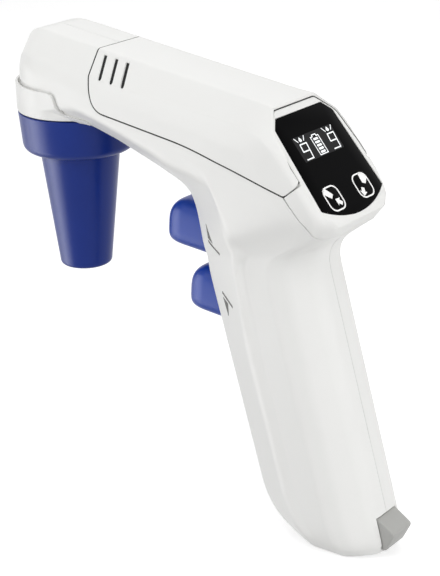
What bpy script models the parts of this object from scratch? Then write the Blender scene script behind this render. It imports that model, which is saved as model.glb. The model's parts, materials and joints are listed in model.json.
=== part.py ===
"""Pipette controller: a hand-held motor pump for serological pipettes.

The housing is a loft along a bent spine, hollowed and split into two halves, a top cover and a
display bezel. Design frame: X runs back from the nose axis, Z up from the sole, Y is the width.
A root empty moves that frame so that the origin is the bottom centre of the whole object.
Lengths are in metres, angles in degrees.
"""

from math import atan2, cos, pi, radians, sin, tan

import bmesh
import bpy
import numpy as np
from mathutils import Matrix, Vector

# Fits
GAP = 0.0003            # between pieces that touch
SLIDE_GAP = 0.0004      # round a piece that slides
WALL = 0.0020           # moulded housing wall

# Head and nose
HEAD_BOTTOM_Z = 0.1369  # underside of the head above the sole
CONE_HEIGHT = 0.0435
MOUTH_RADIUS = 0.0097
CONE_TOP_RADIUS = 0.0144
NOSE_COLLAR_RADIUS = 0.0214
NOSE_COLLAR_HEIGHT = 0.0151
MOUTH_OPENING_RADIUS = 0.0064
CONE_WALL = 0.0020
NOSE_THREAD_RADIUS = 0.0190
HEAD_RADIUS = 0.0209
HEAD_REACH = 0.0194      # front of the head before the nose axis
HEAD_TOP_ROUND = 0.0150
HEAD_COLLAR_RADIUS = 0.0216
HEAD_COLLAR_HEIGHT = 0.0134

# Barrel and panel
BARREL_TOP_Z = 0.1656   # height of the top line above the nose axis
BARREL_SLOPE = 8.0      # the top line falls towards the panel
TOP_FLAT_HALF = 0.0109
SHOULDER_HALF = 0.0191
SHOULDER_DROP = 0.0076
BARREL_HALF_WIDTH = 0.0213
UNDERSIDE_SLOPE = 19.8
UNDERSIDE_START_X = 0.0130
THROAT_RADIUS = 0.0100
PANEL_TOP_X = 0.0963    # top edge of the black window, on the middle line
PANEL_TOP_Z = 0.1492
PANEL_TILT = 39.2       # window plane against the vertical
RIM_PROUD = 0.0005      # the cover's rim stands above the bezel's face
HUMP_V = 0.0416         # corner under the bezel, measured down the panel
HUMP_ROUND = 0.0055
NECK_X = 0.1068
NECK_Z = 0.1048
NECK_ROUND = 0.0100

# Grip
GRIP_FRONT_X = 0.0640   # front face at the height where its lean changes
GRIP_FRONT_Z = 0.0895
GRIP_BACK_X = 0.1076    # back face at the same height
GRIP_TOP_LEAN = 10.0
GRIP_LEAN = 16.0
GRIP_BACK_LEAN = 17.3
GRIP_HALF_WIDTH = 0.0178
CHIN_ROUND = 0.0240
HEEL_ROUND = 0.0050
SOLE_ROUND = 0.0060     # the sides curve in towards the sole
PALM_HOLLOW = 0.0028    # depth of the thumb recess below the display

# Top cover seam, side view
SEAM_FRONT_X = 0.0215
SEAM_FRONT_LOW_X = 0.0270
SEAM_FRONT_Z = 0.1437
SEAM_MID_X = 0.0678
SEAM_MID_Z = 0.1376
SEAM_ROUND = 0.0060
VENT_COUNT = 3
VENT_PITCH = 0.0049
VENT_WIDTH = 0.0013
VENT_LENGTH = 0.0080
VENT_LEAN = 22.0        # the slots run down and back
VENT_INNER_Y = 0.0118   # the slots start at the edge of the flat top
VENT_X = 0.0268
VENT_Z = 0.1575

# Display, measured down the panel (v) and out from its middle line
WINDOW_TOP_HALF = 0.0126
WINDOW_CHAMFER_V = 0.0036
WINDOW_CHAMFER_HALF = 0.0159
WINDOW_LOW_V = 0.0330
WINDOW_LOW_HALF = 0.0175
WINDOW_BOTTOM_V = 0.0380
WINDOW_THICKNESS = 0.0012
BEZEL_TOP_V = -0.0029
BEZEL_TOP_HALF = 0.0113
BEZEL_SHOULDER_V = 0.0040
BEZEL_SHOULDER_HALF = 0.0176
BEZEL_SIDE_HALF = 0.0192
BEZEL_SEAM_V = 0.0226   # where the cover ends and the bezel becomes the outer skin
BEZEL_DEPTH = 0.0070
BEZEL_FACE = 0.0026
LCD_V = 0.0078
LCD_LENGTH = 0.0090
LCD_HALF_WIDTH = 0.0109
LCD_DEPTH = 0.0034
KEY_V = 0.0262
KEY_LENGTH = 0.0090
KEY_WIDTH = 0.0082
KEY_OFFSET = 0.0083
KEY_ROUND = 0.0028
KEY_HEIGHT = 0.0030
KEY_TRAVEL = 0.0004
BOARD_DEPTH = 0.0075
BOARD_THICKNESS = 0.0012
BOARD_HALF_WIDTH = 0.0150
BOARD_START_V = 0.0015
BOARD_LENGTH = 0.0350

# Triggers and valves
TRIGGER_TILT = 5.0      # the triggers slide back and slightly down
TRIGGER_HALF_WIDTH = 0.0080
TRIGGER_HEIGHT = 0.0174
TRIGGER_INSIDE = 0.0055
MOUTH_CORNER = 0.0045
TRIGGER_TRAVEL = 0.0050
UPPER_TRIGGER_Z = 0.1034
LOWER_TRIGGER_Z = 0.0813
UPPER_TRIGGER_REACH = 0.0176
LOWER_TRIGGER_REACH = 0.0135
STEM_RADIUS = 0.0022
STEM_LENGTH = 0.0210
SPRING_RADIUS = 0.0036
SPRING_WIRE = 0.0005
SPRING_PACKED = 0.0028  # length with the coils pressed together
SPRING_TURNS = 5
SPRING_STEPS = 8
VALVE_DEPTH = 0.0130
VALVE_HALF_WIDTH = 0.0090
VALVE_END = 0.0072      # block beyond the middle of each stem

# Pump
MOTOR_RADIUS = 0.0100
MOTOR_LENGTH = 0.0270
MOTOR_X = 0.0465
MOTOR_Z = 0.1425
SHAFT_RADIUS = 0.0011
ECCENTRIC_RADIUS = 0.0034
ECCENTRIC_THROW = 0.0011
BRACKET_LENGTH = 0.0100
BRACKET_WALL = 0.0016
PUMP_HEAD_LENGTH = 0.0170
PUMP_HEAD_HALF_WIDTH = 0.0110
PUMP_HEAD_LOW_Z = 0.1410
PUMP_HEAD_HIGH_Z = 0.1568
PUMP_PORT_BACK = 0.0120
TUBE_RADIUS = 0.0018
BARB_RADIUS = 0.0014
BARB_LENGTH = 0.0024

# Nose inside
SPIGOT_RADIUS = 0.0186
SPIGOT_WALL = 0.0022
SPIGOT_LENGTH = 0.0105
SPIGOT_NECK_RADIUS = 0.0120
SPIGOT_FLANGE_RADIUS = 0.0150
SPIGOT_FLANGE = 0.0020
PORT_RADIUS = 0.0028
PORT_BORE = 0.0013
FILTER_RADIUS = 0.0125
FILTER_THICKNESS = 0.0045
FILTER_HUB_RADIUS = 0.0030
HOLDER_BORE = 0.0036
HOLDER_RISE = 0.0068    # foot of the holder above the mouth
FILTER_BORE = 0.0013
FILTER_HUB_DROP = 0.0045
HUB_SHOULDER = 0.0010
SPIGOT_FLOOR = 0.0022
PORT_DROP = 0.0041      # the port below the spigot's floor
PORT_RISE = 0.0054      # and above the filter
SEAL_RADIUS = 0.0062

# Power
CELL_RADIUS = 0.0090
CELL_LENGTH = 0.0500
CELL_FROM_FRONT = 0.0148
CELL_LOW = 0.0130
HOLDER_WALL = 0.0012
SOCKET_WIDTH = 0.0090
SOCKET_HEIGHT = 0.0076
SOCKET_DEPTH = 0.0076
SOCKET_BORE = 0.0028
SOCKET_BORE_DEPTH = 0.0062
SOCKET_PIN = 0.0008
PORT_UP_BACK = 0.0100   # middle of the socket, up along the back of the grip from the sole
PORT_COVER_LOW = 0.0036
PORT_COVER_HIGH = 0.0150
PORT_COVER_RIDGE = 0.0090
PORT_COVER_HALF_WIDTH = 0.0056
PORT_COVER_BULGE = 0.0056
PORT_COVER_DEPTH = 0.0011
PORT_COVER_LIP = 0.0004
CHARGE_BOARD_LENGTH = 0.0330
CHARGE_BOARD_HALF_WIDTH = 0.0130
CHARGE_BOARD_FROM_FRONT = 0.0285

# Fasteners
SCREW_RADIUS = 0.0012
SCREW_HEAD_RADIUS = 0.0024
SCREW_HEAD_HEIGHT = 0.0018
BOSS_RADIUS = 0.0031
SCREW_SEAT = 0.0060      # shoulder in the right half, from the middle plane
SCREW_REACH = 0.0080

TURN_STEPS = 32
BODY_STEPS = 2           # arc steps of the outer form, and of the hollow
HOLLOW_STEPS = 1
SMALL_STEPS = 12

SPRING_LENGTH = SPRING_PACKED + TRIGGER_TRAVEL
NOSE_TOP_Z = HEAD_BOTTOM_Z - GAP
NOSE_MOUTH_Z = NOSE_TOP_Z - NOSE_COLLAR_HEIGHT - CONE_HEIGHT
PANEL_DOWN = Vector((sin(radians(PANEL_TILT)), 0, -cos(radians(PANEL_TILT))))
PANEL_OUT = Vector((cos(radians(PANEL_TILT)), 0, sin(radians(PANEL_TILT))))
PANEL_ORIGIN = Vector((PANEL_TOP_X, 0, PANEL_TOP_Z))
GRIP_DOWN = Vector((sin(radians(GRIP_LEAN)), 0, -cos(radians(GRIP_LEAN))))
GRIP_BACK = Vector((cos(radians(GRIP_LEAN)), 0, sin(radians(GRIP_LEAN))))
TRIGGER_IN = Vector((cos(radians(TRIGGER_TILT)), 0, -sin(radians(TRIGGER_TILT))))
HEEL_UP = Vector((-sin(radians(GRIP_BACK_LEAN)), 0, cos(radians(GRIP_BACK_LEAN))))
HEEL_OUT = Vector((cos(radians(GRIP_BACK_LEAN)), 0, sin(radians(GRIP_BACK_LEAN))))


# Scene, materials and small mesh tools

def clear_scene():
    for item in list(bpy.data.objects):
        bpy.data.objects.remove(item, do_unlink=True)


clear_scene()
PARTS = bpy.data.collections.new("pipette_controller")
CUTTERS = bpy.data.collections.new("cutters")
bpy.context.scene.collection.children.link(PARTS)
bpy.context.scene.collection.children.link(CUTTERS)
ROOT = bpy.data.objects.new("controller_root", None)
PARTS.objects.link(ROOT)


def material(name, color, roughness, metallic=0.0):
    made = bpy.data.materials.get(name) or bpy.data.materials.new(name)
    made.use_nodes = True
    shader = made.node_tree.nodes["Principled BSDF"]
    shader.inputs["Base Color"].default_value = (*color, 1.0)
    shader.inputs["Roughness"].default_value = roughness
    shader.inputs["Metallic"].default_value = metallic
    return made


WHITE = material("white_abs", (0.86, 0.86, 0.84), 0.35)
BLACK = material("black_gloss", (0.01, 0.01, 0.01), 0.15)
LCD_GREY = material("lcd_glass", (0.03, 0.03, 0.03), 0.2)
KEY_BLACK = material("black_key", (0.012, 0.012, 0.012), 0.4)
NOSE_BLUE = material("blue_nose", (0.03, 0.05, 0.25), 0.3)
TRIGGER_BLUE = material("blue_trigger", (0.05, 0.11, 0.36), 0.3)
SILICONE = material("silicone", (0.75, 0.75, 0.72), 0.6)
PORT_GREY = material("grey_silicone", (0.45, 0.45, 0.43), 0.6)
STEEL = material("steel", (0.6, 0.6, 0.6), 0.3, 1.0)
BOARD_GREEN = material("board_green", (0.02, 0.15, 0.06), 0.5)
CHIP = material("chip_black", (0.02, 0.02, 0.02), 0.5)
NYLON = material("natural_nylon", (0.7, 0.68, 0.6), 0.5)
CELL_WRAP = material("cell_wrap", (0.05, 0.2, 0.3), 0.4)


def recalc(mesh):
    """Weld doubles, drop loose edges and turn every face outwards."""
    bm = bmesh.new()
    bm.from_mesh(mesh)
    bmesh.ops.remove_doubles(bm, verts=bm.verts, dist=1e-6)
    bmesh.ops.delete(bm, geom=[edge for edge in bm.edges if not edge.link_faces], context='EDGES')
    bmesh.ops.recalc_face_normals(bm, faces=bm.faces)
    if bm.calc_volume(signed=True) < 0:
        bmesh.ops.reverse_faces(bm, faces=bm.faces)
    bm.to_mesh(mesh)
    bm.free()


def add_object(name, mesh, look=None):
    made = bpy.data.objects.new(name, mesh)
    PARTS.objects.link(made)
    made.parent = ROOT
    if look:
        mesh.materials.clear()
        mesh.materials.append(look)
    mesh.shade_smooth()
    mesh.set_sharp_from_angle(angle=radians(35))
    return made


def bake(item):
    """Replace the object's mesh by its evaluated one and drop the modifiers."""
    bpy.context.view_layer.update()
    seen = item.evaluated_get(bpy.context.evaluated_depsgraph_get())
    mesh = bpy.data.meshes.new_from_object(seen)
    item.modifiers.clear()
    old = item.data
    item.data = mesh
    bpy.data.meshes.remove(old)
    return item


def as_cutter(item):
    PARTS.objects.unlink(item)
    CUTTERS.objects.link(item)
    item.hide_render = True
    item.display_type = 'WIRE'
    return item


def boolean(item, other, operation):
    change = item.modifiers.new(operation.lower(), 'BOOLEAN')
    change.operation = operation
    change.object = as_cutter(other)
    return bake(item)


def cut(item, *others):
    for other in others:
        boolean(item, other, 'DIFFERENCE')
    return item


def join(item, *others):
    for other in others:
        boolean(item, other, 'UNION')
    return item


def keep(item, other):
    return boolean(item, other, 'INTERSECT')


def copy_of(item, name):
    return add_object(name, item.data.copy())


def frame(origin, along, up=None):
    """Matrix whose Z axis points along, placed at origin, with X as near to up as it can be."""
    z_axis = Vector(along).normalized()
    guide = Vector(up) if up else Vector((0, 1, 0) if abs(z_axis.y) < 0.9 else (1, 0, 0))
    y_axis = z_axis.cross(guide).normalized()
    x_axis = y_axis.cross(z_axis)
    made = Matrix((x_axis, y_axis, z_axis)).transposed().to_4x4()
    made.translation = Vector(origin)
    return made


def panel_frame(out=0.0):
    made = Matrix((PANEL_DOWN, Vector((0, 1, 0)), PANEL_OUT)).transposed().to_4x4()
    made.translation = PANEL_ORIGIN + out * PANEL_OUT
    return made


def from_bmesh(name, bm, place, look):
    if place:
        bmesh.ops.transform(bm, matrix=place, verts=bm.verts)
    mesh = bpy.data.meshes.new(name)
    bm.to_mesh(mesh)
    bm.free()
    recalc(mesh)
    return add_object(name, mesh, look)


def block(name, size, centre, look=None, place=None, round_edge=0.0):
    bm = bmesh.new()
    bmesh.ops.create_cube(bm, size=1.0)
    bmesh.ops.scale(bm, vec=size, verts=bm.verts)
    if round_edge:
        bmesh.ops.bevel(bm, geom=bm.edges[:], offset=round_edge, segments=2, profile=0.5,
                        affect='EDGES')
    bmesh.ops.translate(bm, vec=centre, verts=bm.verts)
    return from_bmesh(name, bm, place, look)


def rod(name, radius, start, end, look=None, steps=20, end_radius=None):
    start, end = Vector(start), Vector(end)
    bm = bmesh.new()
    bmesh.ops.create_cone(bm, cap_ends=True, segments=steps, radius1=radius,
                          radius2=radius if end_radius is None else end_radius,
                          depth=(end - start).length)
    return from_bmesh(name, bm, frame((start + end) / 2, end - start), look)


def turned(name, profile, look=None, place=None, steps=TURN_STEPS):
    """A solid of revolution round Z from a closed profile of (radius, height) points."""
    mesh = bpy.data.meshes.new(name)
    on_axis = profile[0][0] == 0 and profile[-1][0] == 0
    edges = [(k, k + 1) for k in range(len(profile) - 1)]
    if not on_axis:
        edges.append((len(profile) - 1, 0))
    mesh.from_pydata([(radius, 0, height) for radius, height in profile], edges, [])
    made = add_object(name, mesh, look)
    spin = made.modifiers.new("turn", 'SCREW')
    spin.steps = steps
    spin.render_steps = steps
    spin.use_merge_vertices = True
    spin.merge_threshold = 1e-5
    bake(made)
    if place:
        made.data.transform(place)
    recalc(made.data)
    made.data.materials.clear()
    if look:
        made.data.materials.append(look)
    made.data.shade_smooth()
    made.data.set_sharp_from_angle(angle=radians(35))
    return made


def plate(name, outline, low, high, look=None, place=None):
    """A flat outline in local XY as a 2D curve, extruded between two local heights."""
    curve = bpy.data.curves.new(name, 'CURVE')
    curve.dimensions = '2D'
    curve.fill_mode = 'BOTH'
    curve.extrude = (high - low) / 2
    line = curve.splines.new('POLY')
    line.points.add(len(outline) - 1)
    for point, (across, along) in zip(line.points, outline):
        point.co = (across, along, 0, 1)
    line.use_cyclic_u = True
    drawn = bpy.data.objects.new(name, curve)
    PARTS.objects.link(drawn)
    bpy.context.view_layer.update()
    mesh = bpy.data.meshes.new_from_object(drawn.evaluated_get(bpy.context.evaluated_depsgraph_get()))
    bpy.data.objects.remove(drawn)
    shift = Matrix.Translation((0, 0, (high + low) / 2))
    mesh.transform((place or Matrix()) @ shift)
    recalc(mesh)
    return add_object(name, mesh, look)


def side_plate(name, outline, half_width, look=None, middle=0.0):
    """A plate whose outline is given in the side view, as (x, z), extruded to both sides of y = middle."""
    turn = Matrix(((1, 0, 0, 0), (0, 0, -1, middle), (0, 1, 0, 0), (0, 0, 0, 1)))
    return plate(name, outline, -half_width, half_width, look, turn)


def tube(name, points, radius, look, resolution=1):
    """A round rod that follows a smooth curve through the points."""
    curve = bpy.data.curves.new(name, 'CURVE')
    curve.dimensions = '3D'
    curve.bevel_depth = radius
    curve.bevel_resolution = resolution
    curve.use_fill_caps = True
    line = curve.splines.new('POLY')
    line.points.add(len(points) - 1)
    for point, place in zip(line.points, points):
        point.co = (*place, 1)
    drawn = bpy.data.objects.new(name, curve)
    PARTS.objects.link(drawn)
    bpy.context.view_layer.update()
    mesh = bpy.data.meshes.new_from_object(drawn.evaluated_get(bpy.context.evaluated_depsgraph_get()))
    bpy.data.objects.remove(drawn)
    recalc(mesh)
    return add_object(name, mesh, look)


def smooth_path(points, per_span=4):
    """Catmull-Rom points through the given ones."""
    known = [Vector(p) for p in points]
    known = [2 * known[0] - known[1]] + known + [2 * known[-1] - known[-2]]
    found = []
    for k in range(1, len(known) - 2):
        a, b, c, d = known[k - 1:k + 3]
        for step in range(per_span):
            t = step / per_span
            found.append(0.5 * (2 * b + (c - a) * t + (2 * a - 5 * b + 4 * c - d) * t * t
                                + (3 * b - a - 3 * c + d) * t ** 3))
    return found + [known[-2]]


def put_origin(item, place):
    """Move the object's origin to a point of its joint axis without moving its mesh."""
    item.data.transform(Matrix.Translation(-Vector(place)))
    item.location = place
    return item


# Outlines

def rounded(corners, steps=6):
    """An open line through (x, z, radius) corners, each rounded with an arc."""
    found = [Vector(corners[0][:2])]
    for k in range(1, len(corners) - 1):
        before, here, after = (Vector(corners[k + j][:2]) for j in (-1, 0, 1))
        found += arc_at(before, here, after, corners[k][2], steps)
    return found + [Vector(corners[-1][:2])]


def rounded_loop(corners, steps=4):
    """A closed outline with an arc at each (x, z, radius) corner."""
    found = []
    count = len(corners)
    for k in range(count):
        before, here, after = (Vector(corners[(k + j) % count][:2]) for j in (-1, 0, 1))
        found += arc_at(before, here, after, corners[k][2], steps)
    return found


def arc_at(before, here, after, radius, steps):
    into, out = before - here, after - here
    half = into.angle(out) / 2
    if radius <= 0 or abs(half - pi / 2) < 1e-4:
        return [here.copy()] * (1 if radius <= 0 else steps + 1)
    reach = min(radius / tan(half), 0.49 * into.length, 0.49 * out.length)
    into.normalize()
    out.normalize()
    centre = here + (into + out).normalized() * (reach / cos(half))
    first, last = here + into * reach - centre, here + out * reach - centre
    sweep = first.angle(last)
    return [centre + (first * sin((1 - k / steps) * sweep) + last * sin(k / steps * sweep)) / sin(sweep)
            for k in range(steps + 1)]


def rounded_box(centre_x, centre_y, length, width, radius, steps=4):
    half_x, half_y = length / 2, width / 2
    return rounded_loop([(centre_x - half_x, centre_y - half_y, radius),
                         (centre_x + half_x, centre_y - half_y, radius),
                         (centre_x + half_x, centre_y + half_y, radius),
                         (centre_x - half_x, centre_y + half_y, radius)], steps)


def grown(outline, amount):
    """A closed outline moved outwards by an amount, kept point for point."""
    count = len(outline)
    turn = sum(outline[k - 1].x * p.y - p.x * outline[k - 1].y for k, p in enumerate(outline))
    found = []
    for k, here in enumerate(outline):
        edge = outline[(k + 1) % count] - outline[k - 1]
        normal = Vector((edge.y, -edge.x)).normalized() * (1 if turn > 0 else -1)
        found.append(here + normal * amount)
    return found


# The body form: two guide lines in the side view, and sections between them

def top_line(x):
    return BARREL_TOP_Z - tan(radians(BARREL_SLOPE)) * x


def on_panel(v, out):
    """Side-view point at v down the panel and out above its face."""
    place = PANEL_ORIGIN + PANEL_DOWN * v + PANEL_OUT * out
    return place.x, place.z


def panel_meets_top():
    """Where the cover's rim plane meets the top line."""
    x, z = on_panel(0, RIM_PROUD)
    slope = -1 / tan(radians(PANEL_TILT))
    at = (top_line(0) - z + slope * x) / (slope + tan(radians(BARREL_SLOPE)))
    return at, top_line(at)


def grip_front(z):
    lean = GRIP_TOP_LEAN if z > GRIP_FRONT_Z else GRIP_LEAN
    return GRIP_FRONT_X - tan(radians(lean)) * (z - GRIP_FRONT_Z)


def grip_back(z):
    return GRIP_BACK_X - tan(radians(GRIP_BACK_LEAN)) * (z - GRIP_FRONT_Z)


def inner_guide():
    """Underside of the barrel, throat, front of the grip and chin."""
    slope = tan(radians(UNDERSIDE_SLOPE))
    lean = tan(radians(GRIP_TOP_LEAN))
    rise = HEAD_BOTTOM_Z + slope * UNDERSIDE_START_X
    throat_x = (GRIP_FRONT_X + lean * (GRIP_FRONT_Z - rise)) / (1 - lean * slope)
    throat_z = rise - slope * throat_x
    return rounded([(-HEAD_REACH - 0.01, HEAD_BOTTOM_Z, 0),
                    (UNDERSIDE_START_X, HEAD_BOTTOM_Z, 0.03),
                    (throat_x, throat_z, THROAT_RADIUS),
                    (GRIP_FRONT_X, GRIP_FRONT_Z, 0.04),
                    (grip_front(0), 0, CHIN_ROUND),
                    (grip_back(0), 0, 0)])


def outer_guide():
    """Top of the head and barrel, panel, hump, back of the grip and heel."""
    rim_x, rim_z = panel_meets_top()
    return rounded([(-HEAD_REACH, HEAD_BOTTOM_Z, 0),
                    (-HEAD_REACH, top_line(-HEAD_REACH), HEAD_TOP_ROUND),
                    (rim_x, rim_z, 0),
                    (*on_panel(HUMP_V, RIM_PROUD), HUMP_ROUND),
                    (NECK_X, NECK_Z, NECK_ROUND),
                    (grip_back(0), 0, HEEL_ROUND),
                    (grip_front(0), 0, 0)], steps=8)


def crossings(line, start, direction):
    """Distances along a ray at which it meets a line of points."""
    found = []
    across = Vector((-direction.y, direction.x))
    for a, b in zip(line, line[1:]):
        side_a, side_b = (a - start).dot(across), (b - start).dot(across)
        if side_a * side_b <= 0 and side_a != side_b:
            found.append((a + (b - a) * (side_a / (side_a - side_b)) - start).dot(direction))
    return sorted(found)


def form(top, shoulder, drop, side, hollow, high, low, under, under_drop, foot, rounds):
    """Half-section shape: half-widths, the shares of the depth at which they lie, and corner rounds."""
    return np.array([top, shoulder, drop, side, hollow, high, low, under, under_drop, foot, *rounds])


WIDTHS = [0, 1, 3, 7, 9]    # places of the half-widths in a form
HOLLOW = 4
FAN_PIVOT = Vector((0.032, 0.0845))
HEAD_FORM = form(TOP_FLAT_HALF, SHOULDER_HALF, SHOULDER_DROP, HEAD_RADIUS, 0, 0.45, 0.62,
                 HEAD_RADIUS, 0.003, 0.0195, (0.002, 0.0035, 0.014, 0.014, 0.001, 0.001))
BARREL_FORM = form(TOP_FLAT_HALF, SHOULDER_HALF, SHOULDER_DROP, BARREL_HALF_WIDTH, 0, 0.45, 0.62,
                   BARREL_HALF_WIDTH - 0.0004, 0.009, 0.012, (0.0015, 0.0035, 0.014, 0.014, 0.008, 0.010))
RIM_FORM = form(0.0118, 0.0192, 0.0072, BARREL_HALF_WIDTH + 0.0003, 0, 0.42, 0.6,
                BARREL_HALF_WIDTH - 0.001, 0.016, 0.0105, (0.0012, 0.003, 0.014, 0.014, 0.010, 0.010))
PANEL_FORM = form(0.0188, 0.0206, 0.0022, BARREL_HALF_WIDTH, 0, 0.35, 0.6,
                  BARREL_HALF_WIDTH - 0.0014, 0.020, 0.010, (0.0015, 0.003, 0.014, 0.014, 0.010, 0.009))
HUMP_FORM = form(0.0135, 0.0188, 0.0042, 0.0206, 0.0004, 0.30, 0.6,
                 0.0196, 0.022, 0.009, (0.006, 0.006, 0.012, 0.010, 0.008, 0.008))
NECK_FORM = form(0.0070, 0.0152, 0.0078, 0.0196, PALM_HOLLOW, 0.32, 0.52,
                 0.0193, 0.021, 0.009, (0.008, 0.010, 0.008, 0.008, 0.008, 0.008))
GRIP_FORM = form(0.0072, 0.0148, 0.0080, GRIP_HALF_WIDTH, 0.0008, 0.30, 0.52,
                 GRIP_HALF_WIDTH, 0.017, 0.009, (0.008, 0.010, 0.008, 0.008, 0.008, 0.009))
SOLE_FORM = form(0.0060, 0.0100, 0.0050, GRIP_HALF_WIDTH - SOLE_ROUND, 0, 0.30, 0.52,
                 GRIP_HALF_WIDTH - SOLE_ROUND, 0.006, 0.007, (0.008, 0.010, 0.008, 0.008, 0.008, 0.008))

# Fanned sections: angle, form before, form after, share of the second, depth of the palm hollow
FAN = ((47.2, RIM_FORM, PANEL_FORM, 0.85, 0), (54, RIM_FORM, PANEL_FORM, 1, 0),
       (62, PANEL_FORM, HUMP_FORM, 0, 0), (65.6, PANEL_FORM, HUMP_FORM, 0.25, 0.0003),
       (67.4, PANEL_FORM, HUMP_FORM, 0.5, 0.0017), (69.4, PANEL_FORM, HUMP_FORM, 0.9, 0.0024),
       (71.2, HUMP_FORM, NECK_FORM, 0.4, PALM_HOLLOW), (72.8, HUMP_FORM, NECK_FORM, 0.8, PALM_HOLLOW))
# Sections of the grip below the fan: drop below its top, share of the grip's form
GRIP_SECTIONS = ((0, 0.0), (0.0055, 0.15), (0.0140, 0.55), (0.0285, 1.0), (0.0620, 1.0))
# Sections near the sole: height, tilt against level, share of the sole's form
SOLE_SECTIONS = ((0.0140, 0.65, 0.02), (0.0062, 0.3, 0.08), (0.0034, 0.15, 0.27), (0.0012, 0.06, 0.58),
                 (0.0, 0.0, 1.0))


def section_planes(inset):
    """Every section as (start, direction, form): upright in the head and barrel, then fanned about a
    point in the finger space, then square to the grip, and level at the sole. The inset is the wall
    between the outer form and the hollow."""
    found = []
    for angle in (18 if inset else 8, 26, 38, 55, 73):
        x = -(HEAD_REACH - inset) * cos(radians(angle))
        squeezed = HEAD_FORM.copy()
        squeezed[WIDTHS] = (squeezed[WIDTHS] - inset) * sin(radians(angle)) + inset
        found.append((Vector((x, 0)), Vector((0, 1)), squeezed))
    found.append((Vector((0.001, 0)), Vector((0, 1)), HEAD_FORM))
    found.append((Vector((UNDERSIDE_START_X, 0)), Vector((0, 1)), 0.5 * (HEAD_FORM + BARREL_FORM)))
    rim = Vector(panel_meets_top()) - FAN_PIVOT
    for share in (-0.07, 0.25, 0.5, 0.75):
        angle = share * atan2(rim.x, rim.y)
        found.append((FAN_PIVOT, Vector((sin(angle), cos(angle))), BARREL_FORM))
    found.append((FAN_PIVOT, rim.normalized(), RIM_FORM))
    for angle, first, last, share, hollow in FAN:
        direction = Vector((sin(radians(angle)), cos(radians(angle))))
        values = first + (last - first) * share
        values[HOLLOW] = hollow
        found.append((FAN_PIVOT, direction, values))
    square = Vector((GRIP_BACK.x, GRIP_BACK.z))
    for drop, share in GRIP_SECTIONS:
        height = GRIP_FRONT_Z + 0.001 - drop
        values = NECK_FORM + (GRIP_FORM - NECK_FORM) * share
        found.append((Vector((grip_front(height), height)), square, values))
    for rise, tilt, share in SOLE_SECTIONS:
        height = inset + rise * (1 - inset / SOLE_SECTIONS[0][0])
        level = Vector((cos(radians(GRIP_LEAN) * tilt), sin(radians(GRIP_LEAN) * tilt)))
        values = GRIP_FORM + (SOLE_FORM - GRIP_FORM) * share
        found.append((Vector((grip_front(height), height)), level, values))
    return found


def half_section(values, depth, inset, steps):
    """One side of a section as (half-width, depth from the outer guide) points."""
    top, shoulder, drop, side, hollow, high, low, under, under_drop, foot = values[:10]
    rounds = values[10:]
    short = min(1, depth / 0.024)
    drop, under_drop = short * drop, short * under_drop
    waist = side - hollow
    corners = [(0, inset, 0),
               (max(top - 0.4 * inset, 0.25 * (shoulder - inset)), inset, rounds[0]),
               (shoulder - inset, drop + 0.4 * inset, rounds[1]),
               (waist - inset, drop + high * (depth - drop) * 0.5, rounds[2]),
               (waist - inset, low * depth, rounds[3]),
               (under - inset, depth - under_drop, rounds[4]),
               (max(min(foot - 0.4 * inset, under - 1.1 * inset), 0.25 * (under - inset)), depth - inset,
               rounds[5]),
               (0, depth - inset, 0)]
    return rounded(corners, steps)


def body_rings(inset=0.0, steps=BODY_STEPS):
    """The closed rings of points of every section, top middle first."""
    inner, outer = inner_guide(), outer_guide()
    rings = []
    for start, direction, values in section_planes(inset):
        if start.y <= inset and start.x > FAN_PIVOT.x:
            near, far = sole_ends(inner, outer, start)
        else:
            low = crossings(inner, start, direction)
            near = low[0] if start.x <= FAN_PIVOT.x else min(low, key=abs)
            far = next(s for s in crossings(outer, start, direction) if s > near + 0.004)
        bottom, top = start + direction * near, start + direction * far
        down = (bottom - top).normalized()
        side = [(w, top + down * q) for w, q in half_section(values, (bottom - top).length, inset, steps)]
        ring = [Vector((p.x, -w, p.y)) for w, p in side]
        ring += [Vector((p.x, w, p.y)) for w, p in reversed(side[1:-1])]
        rings.append(ring)
    return rings


def sole_ends(inner, outer, start):
    """Distances from the start to the front and the back of the flat sole."""
    front = [p.x for p in inner if p.y < 1e-5][0]
    back = [p.x for p in outer if p.y < 1e-5][0]
    return front - start.x, back - start.x


def loft(name, rings, look=None):
    bm = bmesh.new()
    rows = [[bm.verts.new(p) for p in ring] for ring in rings]
    count = len(rows[0])
    for first, second in zip(rows, rows[1:]):
        for k in range(count):
            after = (k + 1) % count
            bm.faces.new((first[k], first[after], second[after], second[k]))
    bm.faces.new(rows[0])
    bm.faces.new(reversed(rows[-1]))
    bmesh.ops.triangulate(bm, faces=[f for f in bm.faces if len(f.verts) > 4])
    return from_bmesh(name, bm, None, look)


# Places that several pieces share

def seam_outline():
    """Top cover in the side view, a little larger than the body above and behind it."""
    high = BARREL_TOP_Z + 0.02
    return rounded_loop([(SEAM_FRONT_X, high, 0),
                         (SEAM_FRONT_X, SEAM_FRONT_Z + 0.0190, 0.008),
                         (SEAM_FRONT_X + 0.0020, SEAM_FRONT_Z + 0.0115, 0.02),
                         (SEAM_FRONT_LOW_X, SEAM_FRONT_Z, SEAM_ROUND),
                         (SEAM_MID_X, SEAM_MID_Z, 0.15),
                         (*on_panel(BEZEL_SEAM_V, -BEZEL_DEPTH), 0.0015),
                         (*on_panel(BEZEL_SEAM_V - 0.0003, RIM_PROUD + 0.0002), 0.0030),
                         (*on_panel(-0.010, RIM_PROUD + 0.0002), 0),
                         (*on_panel(-0.030, RIM_PROUD + 0.0002), 0)])


def bezel_side(first_v, deep, proud):
    """The lower bezel's slab in the side view."""
    return [Vector(on_panel(first_v, proud)), Vector(on_panel(0.060, proud)),
            Vector(on_panel(0.060, -deep)), Vector(on_panel(first_v, -deep))]


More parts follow.
